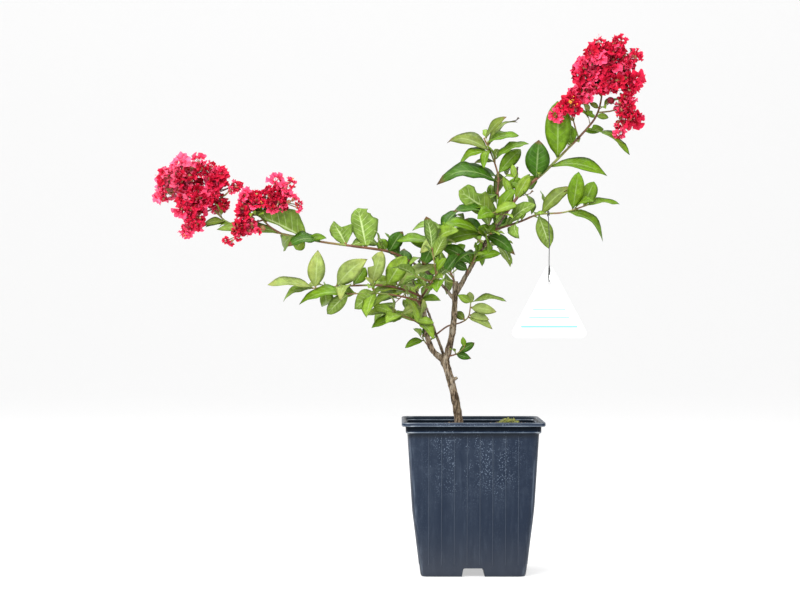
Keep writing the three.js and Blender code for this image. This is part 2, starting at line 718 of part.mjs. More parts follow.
// A planned leaf keeps its heading, length and width as seen from the open face. Its turn in
// depth is drawn, and swings further to and fro where the leaf would touch another piece.
function plannedLeaf(curve, [at, heading, length, width], draw, attempt) {
  const swing = LEAF.depthSwing * attempt * (attempt % 2 ? 1 : -1);
  const turned = LEAF.depthTurn * (2 * draw() - 1) + swing;
  const depth = THREE.MathUtils.clamp(turned, -LEAF.mostDepth, LEAF.mostDepth);
  const trueLength = length / Math.cos(radians(depth));
  const trueWidth = Math.max(width, LEAF.leastRatio * trueLength);
  const roll = Math.acos(width / trueWidth);
  return {
    base: curve.getPointAt(Math.min(at, LEAF.lastShare)),
    ...leafFrame(heading, depth, roll),
    length: trueLength,
    width: trueWidth,
    fold: 0.1 + 0.12 * draw(),
    arch: 0.02 + 0.06 * draw(),
    outline: length < LEAF.plainBelow ? PLAIN_OUTLINE : FULL_OUTLINE,
  };
}

function fillLeaf(curve, order, count, draw) {
  const depth = (order % 2 ? 1 : -1) * (32 + 36 * draw());
  const length = 28 + 14 * draw();
  const at = 0.15 + (0.85 * (order + 0.5)) / count;
  return {
    base: curve.getPointAt(Math.min(at, LEAF.lastShare)),
    ...leafFrame(360 * draw(), depth, radians(20 + 60 * draw())),
    length,
    width: length * (0.42 + 0.08 * draw()),
    fold: 0.1 + 0.15 * draw(),
    arch: 0.03 + 0.06 * draw(),
  };
}

function coversOpenSpot({ base, along, length }) {
  return [0.35, 0.7, 1].some((share) => {
    const { x, z } = base.clone().addScaledVector(along, share * length);
    return OPEN_SPOTS.some(([left, right, low, high]) => x > left && x < right && z > low && z < high);
  });
}

// A leaf is kept only where it touches no other piece, and its blade no blade of its own mass.
function growLeaf(makeLeaf, others, blades, planned = false) {
  for (let attempt = 0; attempt < LEAF.tries; attempt += 1) {
    const leaf = makeLeaf(attempt);
    if (!planned && coversOpenSpot(leaf)) continue;
    const blade = leafSolid({
      ...leaf,
      base: leaf.base.clone().addScaledVector(leaf.along, leaf.length * LEAF.petioleShare),
      length: leaf.length * (1 - LEAF.petioleShare),
    }, GAP);
    const free = !others.some((solid) => touches(leafSolid(leaf, GAP), solid));
    if (free && !blades.some((solid) => touches(blade, solid))) {
      blades.push(blade);
      return [leafSolid(leaf)];
    }
  }
  return [];
}

// Side twigs go round the stem by the golden angle; each carries alternate leaves and one at its
// tip, with their faces to the sky.
function twigSolids(curve, order, count, draw, others, blades) {
  const at = 0.3 + (0.68 * (order + 0.5)) / count;
  const tangent = curve.getTangentAt(at);
  const around = new THREE.Vector3(0, 0, 1).cross(tangent).normalize()
    .applyAxisAngle(tangent, order * GOLDEN_ANGLE + draw());
  const start = curve.getPointAt(at);
  const heading = tangent.clone().multiplyScalar(0.55).add(around).normalize();
  const length = TWIG.length * (0.8 + 0.4 * draw());
  const end = start.clone().addScaledVector(heading, length);
  end.z += length * TWIG.lift;
  const twigCurve = new THREE.LineCurve3(start, end);
  const twig = stalkSolid(start, end, TWIG.radius);
  if (others.some((solid) => touches(twig, solid))) return [];
  const leaves = Array.from({ length: TWIG.leaves }, (_, i) => growLeaf(() => {
    const share = (i + 1) / TWIG.leaves;
    const spread = share === 1 ? 0 : radians(50 + 25 * draw()) * (i % 2 ? 1 : -1);
    const sky = new THREE.Vector3(draw() - 0.5, draw() - 0.5, 1).normalize();
    const along = heading.clone()
      .applyAxisAngle(sky, spread)
      .addScaledVector(sky, 0.3 * (draw() - 0.4))
      .normalize();
    const leafLength = 27 + 14 * draw();
    return {
      base: twigCurve.getPointAt(Math.min(share, LEAF.lastShare)),
      along,
      face: sky.clone().addScaledVector(along, -sky.dot(along)).normalize(),
      length: leafLength,
      width: leafLength * (0.42 + 0.08 * draw()),
      fold: 0.1 + 0.15 * draw(),
      arch: 0.04 + 0.06 * draw(),
    };
  }, others, blades)).flat();
  return [twig, ...leaves];
}

// A blossom faces away from the head's middle and towards its own side of the head. One that
// touches another is moved further out, away from the head. Its stalk forks from the nearest
// heart or from the middle of an earlier stalk.
function blossomPieces(head, row, side, forks, draw, others, blooms) {
  const [x, z, reach] = row;
  for (let attempt = 0; attempt < FLOWER.tries; attempt += 1) {
    const depth = side * (FLOWER.nearest + FLOWER.scatter * draw() + FLOWER.step * attempt);
    const centre = new THREE.Vector3(x, head.y + depth, z);
    const facing = centre.clone().sub(head).normalize();
    facing.y += 0.5 * side;
    facing.normalize();
    const blossom = blossomSolid({ centre, facing, radius: reach * FLOWER.spread, draw });
    if ([...others, ...blooms].some((solid) => touches(blossom, solid))) continue;
    const aside = new THREE.Vector3(0, 0, 1).cross(facing).normalize();
    const foot = centre.clone()
      .addScaledVector(facing, -STALK.inset)
      .addScaledVector(aside, STALK.aside);
    const stalkFrom = (fork) => stalkSolid(fork, foot, STALK.radius);
    const fork = forks
      .filter((point) => point.distanceTo(foot) > STALK.least)
      .sort((a, b) => a.distanceTo(foot) - b.distanceTo(foot))
      .find((point) => ![...others, ...blooms].some((solid) => touches(stalkFrom(point), solid)));
    if (fork) {
      blooms.push(blossom);
      forks.push(fork.clone().lerp(foot, 0.5));
      return [stalkFrom(fork), blossom];
    }
  }
  return [];
}

function blossomHead(curve, { hearts, blossoms, behind }, draw, others) {
  const forks = [
    ...hearts.map(([at, ...heart]) => curve.getPointAt(at).lerp(vec(heart), 1 - STALK.shoulder)),
    curve.getPointAt(LEAF.lastShare),
  ];
  const middle = blossoms
    .reduce((sum, [x, z]) => sum.add(new THREE.Vector3(x, 0, z)), new THREE.Vector3())
    .divideScalar(blossoms.length)
    .setY(hearts[0][2]);
  const blooms = [];
  const front = blossoms.flatMap((row) => (
    blossomPieces(middle, row, -1, forks, draw, others, blooms)
  ));
  const back = Array.from({ length: behind }, (_, i) => {
    const [x, z, reach] = blossoms[Math.floor((i * blossoms.length) / behind)];
    const inward = 0.1 + 0.15 * draw();
    const row = [
      THREE.MathUtils.lerp(x, middle.x, inward),
      THREE.MathUtils.lerp(z, middle.z, inward),
      reach,
    ];
    return blossomPieces(middle, row, 1, forks, draw, others, blooms);
  }).flat();
  return [...front, ...back];
}

// The woody part of a mass: its stem, and the branches to the hearts of its blossom.
function stemSolid(curve, { radii, hearts = [] }, grow) {
  const branches = hearts.map(([at, ...heart]) => (
    stalkSolid(curve.getPointAt(at), vec(heart), STALK.branchRadius + grow)
  ));
  return fuse([limbSolid(curve, { radii, sides: 4, steps: 8 }, grow), ...branches]);
}

function massSolid(name, mass) {
  const draw = seededDraws(mass.seed);
  const { leaves = [], fill = 0, twigs = 0 } = mass;
  const curve = curves[name];
  const stem = placed.find((piece) => piece.name === name).solid;
  const others = placed.filter((piece) => piece.name !== name).map(({ solid }) => solid);
  const blades = [];
  const planned = leaves.map((row) => (
    growLeaf((attempt) => plannedLeaf(curve, row, draw, attempt), others, blades, true)
  ));
  const filled = Array.from({ length: fill }, (_, order) => (
    growLeaf(() => fillLeaf(curve, order, fill, draw), others, blades)
  ));
  const sides = Array.from({ length: twigs }, (_, order) => (
    twigSolids(curve, order, twigs, draw, others, blades)
  ));
  const bloom = mass.blossoms ? blossomHead(curve, mass, draw, [...others, ...blades]) : [];
  return mainBody(fuse([stem, ...planned.flat(), ...filled.flat(), ...sides.flat(), ...bloom]));
}

const label = labelSolid();
const wire = wireSolid();
placed.push({ name: 'label', solid: label });
placed.push({ name: 'label_wire', solid: wire });
addPiece('label', label, { colour: 0xf4f5f4, roughness: 0.5 });
addPiece('label_wire', wire, { colour: 0x1b1b1b, roughness: 0.5 });

// The stems of all masses keep their places before any leaf grows.
for (const [name, mass] of Object.entries(MASSES)) {
  curves[name] = curveOf(mass);
  const solid = mainBody(cutClear(stemSolid(curves[name], mass, 0)));
  placed.push({ name, solid, grown: stemSolid(curves[name], mass, GAP) });
}
for (const [name, mass] of Object.entries(MASSES)) {
  const solid = massSolid(name, mass);
  placed.find((piece) => piece.name === name).solid = solid;
  addPiece(name, solid, mass.blossoms ? CRIMSON : GREEN);
}

// ---- the whole, centred over its own footprint ----
const footprint = new THREE.Box3().setFromObject(plant).getCenter(new THREE.Vector3());
plant.position.set(-footprint.x, -footprint.y, 0);
const crapeMyrtle = new THREE.Group();
crapeMyrtle.add(plant);

export default crapeMyrtle;
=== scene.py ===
"""Potted crape myrtle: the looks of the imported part, laid out as an add-on and run as a script."""

import math

import bmesh
import bpy
import numpy as np
from mathutils import Matrix, Vector, noise
from mathutils.bvhtree import BVHTree


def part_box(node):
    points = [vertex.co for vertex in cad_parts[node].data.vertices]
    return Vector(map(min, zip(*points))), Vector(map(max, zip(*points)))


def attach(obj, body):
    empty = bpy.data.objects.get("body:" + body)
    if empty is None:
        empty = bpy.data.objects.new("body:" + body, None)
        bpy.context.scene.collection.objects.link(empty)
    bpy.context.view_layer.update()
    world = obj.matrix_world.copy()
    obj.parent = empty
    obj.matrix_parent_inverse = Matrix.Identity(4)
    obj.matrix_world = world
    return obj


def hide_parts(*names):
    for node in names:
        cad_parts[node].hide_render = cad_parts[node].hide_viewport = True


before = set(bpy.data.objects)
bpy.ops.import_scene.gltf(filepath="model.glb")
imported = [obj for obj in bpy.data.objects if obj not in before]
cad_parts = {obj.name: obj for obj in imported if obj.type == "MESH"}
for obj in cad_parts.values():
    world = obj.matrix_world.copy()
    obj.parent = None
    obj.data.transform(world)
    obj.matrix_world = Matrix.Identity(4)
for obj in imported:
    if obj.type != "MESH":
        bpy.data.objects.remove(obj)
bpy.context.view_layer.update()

bl_info = {
    "name": "Potted Crape Myrtle",
    "version": (1, 0, 0),
    "blender": (4, 5, 0),
    "location": "3D View > Sidebar > Crape Myrtle",
    "description": "Builds the pot, soil, wood, leaves, blossom and label of a young crape myrtle",
    "category": "Object",
}

MM = 0.001  # lengths below are in millimetres, from the middle of the pot's underside
POT_LOW, POT_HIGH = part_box("pot")
POT_MIDDLE = np.array([(POT_LOW.x + POT_HIGH.x) / 2, (POT_LOW.y + POT_HIGH.y) / 2, 0.0])
RIM_HALF = (POT_HIGH.x - POT_LOW.x) / 2 / MM
POT_HEIGHT = POT_HIGH.z / MM
SOIL_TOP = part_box("soil")[1].z / MM


def in_frame(places):
    """Millimetres from the pot's middle, as metres in the part's own frame."""
    return np.asarray(places, float) * MM + POT_MIDDLE


def plant_box(node):
    """The lowest and the highest corner of a CAD node, in millimetres from the pot's middle."""
    return [(np.array(corner) - POT_MIDDLE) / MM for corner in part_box(node)]


LABEL_LOW, LABEL_HIGH = plant_box("label")
WIRE_LOW, WIRE_HIGH = plant_box("label_wire")
MOSS_LOW, MOSS_HIGH = plant_box("moss_tuft")


# ---- seeded draws and small vector helpers ----
WHOLE = 0xFFFFFFFF
# Where the draws for each kind of detail start; a leaf's or a mass's own number is added to two.
SEED = {
    "bark": 51, "stems": 61, "leaves": 62, "blossom": 63, "crumbs": 71, "moss": 72,
    "fine_twigs": 300, "flowers": 401, "buds": 402, "tints": 900,
}


def seeded_draws(seed):
    """Numbers from 0 to 1 that come out the same each time."""
    state = seed & WHOLE

    def draw():
        nonlocal state
        state = (state + 0x6D2B79F5) & WHOLE
        mixed = ((state ^ (state >> 15)) * (state | 1)) & WHOLE
        mixed = ((mixed + (((mixed ^ (mixed >> 7)) * (mixed | 61)) & WHOLE)) & WHOLE) ^ mixed
        return (mixed ^ (mixed >> 14)) / (WHOLE + 1)

    return draw


def unit(vector):
    return vector / max(np.linalg.norm(vector), 1e-12)


def turned(vector, axis, angle):
    """A vector turned about an axis by the right-hand rule."""
    return (
        vector * math.cos(angle)
        + np.cross(axis, vector) * math.sin(angle)
        + axis * np.dot(axis, vector) * (1 - math.cos(angle))
    )


class Route:
    """A smooth line through points, measured along its own length."""

    SAMPLES = 200

    def __init__(self, points):
        self.points = [np.array(point, float) for point in points]
        self.shares = np.linspace(0, 1, self.SAMPLES + 1)
        places = np.array([self._at(share) for share in self.shares])
        self.lengths = np.concatenate([[0], np.cumsum(np.linalg.norm(np.diff(places, axis=0), axis=1))])

    def _at(self, share):
        points = self.points
        spans = len(points) - 1
        first = min(int(share * spans), spans - 1)
        weight = share * spans - first
        b, c = points[first], points[first + 1]
        a = points[first - 1] if first > 0 else 2 * b - c
        d = points[first + 2] if first + 2 <= spans else 2 * c - b
        before, along, after = (math.sqrt(np.linalg.norm(q - p)) for p, q in ((a, b), (b, c), (c, d)))
        start = ((b - a) / before - (c - a) / (before + along) + (c - b) / along) * along
        end = ((c - b) / along - (d - b) / (along + after) + (d - c) / after) * along
        bend = -3 * b + 3 * c - 2 * start - end
        return b + start * weight + bend * weight**2 + (2 * b - 2 * c + start + end) * weight**3

    def point(self, share):
        return self._at(np.interp(share * self.lengths[-1], self.lengths, self.shares))

    def tangent(self, share):
        near = np.interp(share * self.lengths[-1], self.lengths, self.shares)
        return unit(self._at(min(near + 1e-4, 1.0)) - self._at(max(near - 1e-4, 0.0)))


def rings(points, radii, sides):
    """Corners and faces of a round limb along a line of points, closed at both ends."""
    points = np.asarray(points, float)
    radii = np.broadcast_to(np.asarray(radii, float), len(points))
    tangents = np.gradient(points, axis=0)
    tangents /= np.linalg.norm(tangents, axis=1)[:, None]
    normal = unit(np.cross(tangents[0], np.eye(3)[int(np.argmin(np.abs(tangents[0])))]))
    angles = np.arange(sides) * 2 * math.pi / sides
    corners = []
    for place, tangent, radius in zip(points, tangents, radii):
        normal = unit(normal - tangent * np.dot(normal, tangent))
        across = np.cross(tangent, normal)
        corners.append(place + radius * (np.outer(np.cos(angles), normal) + np.outer(np.sin(angles), across)))
    corners = np.concatenate([*corners, points[:1], points[-1:]])
    steps = len(points) - 1
    faces = [
        [i * sides + j, i * sides + (j + 1) % sides, (i + 1) * sides + (j + 1) % sides, (i + 1) * sides + j]
        for i in range(steps)
        for j in range(sides)
    ]
    foot, tip = len(corners) - 2, len(corners) - 1
    faces += [[foot, (j + 1) % sides, j] for j in range(sides)]
    faces += [[tip, steps * sides + j, steps * sides + (j + 1) % sides] for j in range(sides)]
    return corners, faces


# ---- sizes and places that the frame doesn't give, in millimetres ----
POT_FLOOR = 12.0
TRUNK_FOOT = (-13.0, 0.0)
LABEL_APEX = 335.0  # the height where the label's two sides would meet
LABEL_BASE, LABEL_HEIGHT, LABEL_CORNER = 88.0, 84.0, 7.3
LABEL_HOLE, LABEL_HOLE_DROP = 2.7, 26.0
WIRE_RADIUS = 0.5
WIRE_LOOP = (81, -19.4, 383)  # where it goes round its twig
# Swellings where branches leave: x, y, z and radius.
KNOTS = (
    (-28.5, 0, 224, 5.3),
    (-17.6, 5, 305, 3.4),
    (-52, -9.5, 286, 2.9),
    (-50.2, -7.6, 268, 3.6),
)
# The finishes of each piece, in the order of its materials.
LETTERS = "DMFLO"  # leaves: deep, mature, fresh, lime and olive, each with its underside
MATURE, LIME = LETTERS.index("M"), LETTERS.index("L")
YOUNG_WOOD, GREEN_WOOD, FLOWER_STALK, DRY_TIP = range(4)
# Rose and pink are lighter copies of crimson, as painted highlights; pink goes to the lit upper left of the
# left head. Dark is a darker copy, as painted shade among the deeper flowers, and also used for the open
# flower and the petals' claws.
CRIMSON, ROSE_HIGHLIGHT, DARK_SHADE, PINK_HIGHLIGHT = range(4)
POLLEN, CALYX, FILAMENT, BUD_STALK, BUD_RED = range(5)
SEEN_BELOW = {"tint": MATURE, "turned_over": True}
# Leaves whose shape is their own. Halves are millimetres from the midrib to the left and to the
# right edge, seen from the open side along the leaf, at shares of its length.
KNOWN_LEAVES = {
    ("bough_spray_top", 0): {
        **SEEN_BELOW, "fold": 0.08, "arch": 0.02, "curl": 0.1, "lean": 0.5, "length": 58.0,
        "halves": (
            ((0, 0.5), (0.1, 4), (0.3, 8.5), (0.5, 11), (0.75, 11.5), (0.9, 8), (1, 1)),
            ((0, 0.5), (0.1, 5), (0.3, 12), (0.45, 15), (0.55, 15.5), (0.6, 10), (0.7, 8.5), (0.76, 13),
             (0.9, 12), (1, 2)),
        ),
    },
    ("left_arm", 8): {**SEEN_BELOW, "lean": 0.85, "curl": 0.0, "width": 13.0, "length": 70.0},
    ("top_shoot", 0): {"curl": 0.4},
    ("top_shoot", 1): {"curl": 0.45},
    ("top_shoot", 6): {"curl": 0.3},
    ("left_arm", 6): {
        **SEEN_BELOW, "fold": 0.12, "arch": 0.03, "curl": 0.1,
        "halves": (
            ((0, 0.4), (0.1, 1.2), (0.6, 2.2), (1, 0)),
            ((0, 0.5), (0.05, 7), (0.11, 12.8), (0.22, 18.6), (0.34, 22), (0.57, 19.8), (0.8, 11.4),
             (0.94, 4.2), (1, 0)),
        ),
    },
    ("left_arm", 4): {
        **SEEN_BELOW, "fold": 0.06, "arch": 0.02, "curl": 0.2,
        "halves": (
            ((0, 0.5), (0.12, 3.2), (0.3, 7), (0.55, 9.2), (0.74, 8.6), (0.88, 4.4), (0.95, 1.4), (1, 0.5)),
            ((0, 0.5), (0.1, 5.2), (0.28, 12.6), (0.45, 17), (0.55, 16.6), (0.6, 8), (0.64, 5),
             (0.75, 3.2), (0.9, 1.6), (1, 0.5)),
        ),
    },
    ("left_arm", 3): {
        **SEEN_BELOW, "fold": 0.08, "arch": 0.02, "curl": 0.15,
        "halves": (
            ((0, 0.5), (0.12, 4.2), (0.28, 8.8), (0.42, 10.6), (0.7, 10.4), (0.87, 8.4), (0.97, 4), (1, 0.5)),
            ((0, 0.5), (0.1, 7.4), (0.32, 15.6), (0.5, 18), (0.62, 19.2), (0.66, 15), (0.72, 12.6),
             (0.77, 12.2), (0.83, 7.8), (0.87, 9), (0.9, 12), (0.93, 8), (1, 0.5)),
        ),
    },
}
# How the leaves of each mass are dealt: deep, mature, fresh, lime or olive. Small letters show a
# leaf's pale underside. The first letters are for its rows in order, the rest for all others.
DEALT = {
    "right_arm": ("FFMDMMM", "DMMF"),
    "right_flower_head": ("MMMFO", "MF"),
    "left_arm": ("DDM..M.FM", "DMMFm"),
    "left_flower_head": ("MOM", "MF"),
    "second_flower_head": ("FM", "MF"),
    "top_shoot": ("DDMOMMOOMO", "DMOM"),
    "side_shoot": ("mfOMMMM", "MMFm"),
    "low_left_shoot": ("FFLFLMLLLFD", "FLFM"),
    "low_left_twig": ("MmfMM", "FLmF"),
    "low_left_spray": ("FFMLF", "FLF"),
    "bough_spray_low": ("DDM", "DDM"),
    "bough_spray_mid": ("DMMDMM", "DMM"),
    "bough_spray_top": ("MDMF", "DMM"),
    "centre_left_shoot": ("DMMMDLMm", "DMF"),
    "crossing_twig": ("OLLLLfF", "MLF"),
    "low_right_twig": ("DDM", "MD"),
    "low_stem_twig": ("MD", "MD"),
    "front_shoot": ("", "DDM"),
}
DEALT_TO_OTHERS = ("", "DDMMMFmM")
NO_ROW = 99  # for leaves that no row plans
OPEN_FLOWER = (107, 502)  # x and z of the one flower that is wide open
# Openings among the blossom: the middle in x and z, then half its width and half its height.
HEAD_GAPS = ((151, 508, 11, 13), (-212, 376, 20, 11))
# Round buds that stand out: x, y, z, size and finish.
PROUD_BUDS = (
    (151.7, 31, 507.7, 4.2, BUD_RED),
    (-222, -45, 366.6, 3.4, CALYX),
    (163, 31, 494, 3.2, BUD_RED),
    (-296, -34, 404, 3.0, BUD_RED),
)
# Dried shoot tips: the foot and then the tip of each.
DRY_TIPS = (
    ((45, 6, 418), (49, 2, 434)),
    ((55, 2, 403), (65, -2, 408)),
    ((59, 0, 390), (66, -3, 392)),
    ((97, -26, 406), (104, -30, 412)),
    ((42, 22, 484), (51, 20, 488)),
)


# ---- how the plant grows: limbs, then the stems of all masses, then leaves and blossom ----
# These rows have the same meaning as in the part's source.
#   springs: the limb that it grows from, and where along that limb.
#   leaves: share of the stem's length, heading in degrees from +X towards +Z, length, width.
#   fill, twigs: how many more leaves, or side twigs with leaves, it has.
#   hearts: share of the stem's length, then the point that blossom stalks spread from.
#   blossoms: x, z and reach of each blossom on the open side; `behind` more stand behind them.
LIMBS = {
  "trunk": {
    "route": [[-13, 0, 151], [-16.5, -1, 178], [-22, -2, 202], [-28.5, 0, 225]],
    "radii": [4.1, 4.3], "sides": 9, "steps": 10, "flare": 1.4,
    "stubs": [{"route": [[-21, -2, 204], [-15.8, -3, 208]], "radii": [2, 1.6]}],
  },
  "left_stem": {
    "springs": ["trunk", 1],
    "route": [[-41.4, -3, 236.2], [-46.8, -5, 248], [-49.5, -7, 264], [-51.6, -9, 280], [-54.5, -11, 296]],
    "radii": [3.2, 2.5], "sides": 8, "steps": 10,
    "stubs": [{"route": [[-55, -11, 290], [-61, -13, 305], [-66.5, -15, 317]], "radii": [1.3, 0.8]}],
  },
  "right_stem": {
    "springs": ["trunk", 1],
    "route": [[-25.8, 1, 233], [-21, 2, 255], [-18.6, 4, 277], [-17.3, 6, 311]],
    "radii": [3.6, 2.8], "sides": 8, "steps": 10,
  },
  "middle_stem": {
    "springs": ["trunk", 0.98],
    "route": [[-32.7, 6, 239], [-38.5, 8, 254], [-46, 3, 276], [-52, -2, 290]],
    "radii": [1.8, 1.2], "sides": 6, "steps": 8,
  },
  "right_bough": {
    "springs": ["right_stem", 0.82],
    "route": [[-5, 8, 319], [9, 11, 343], [26, 14, 368.6], [38, 15, 385.5]],
    "radii": [2.6, 1.9], "sides": 7, "steps": 9,
  },
  "left_bough": {
    "springs": ["right_stem", 0.76],
    "route": [[-31.3, 0, 306.4], [-51.6, -6, 323.5], [-65, -8, 331.5]],
    "radii": [1.8, 1.5], "sides": 6, "steps": 7,
  },
}

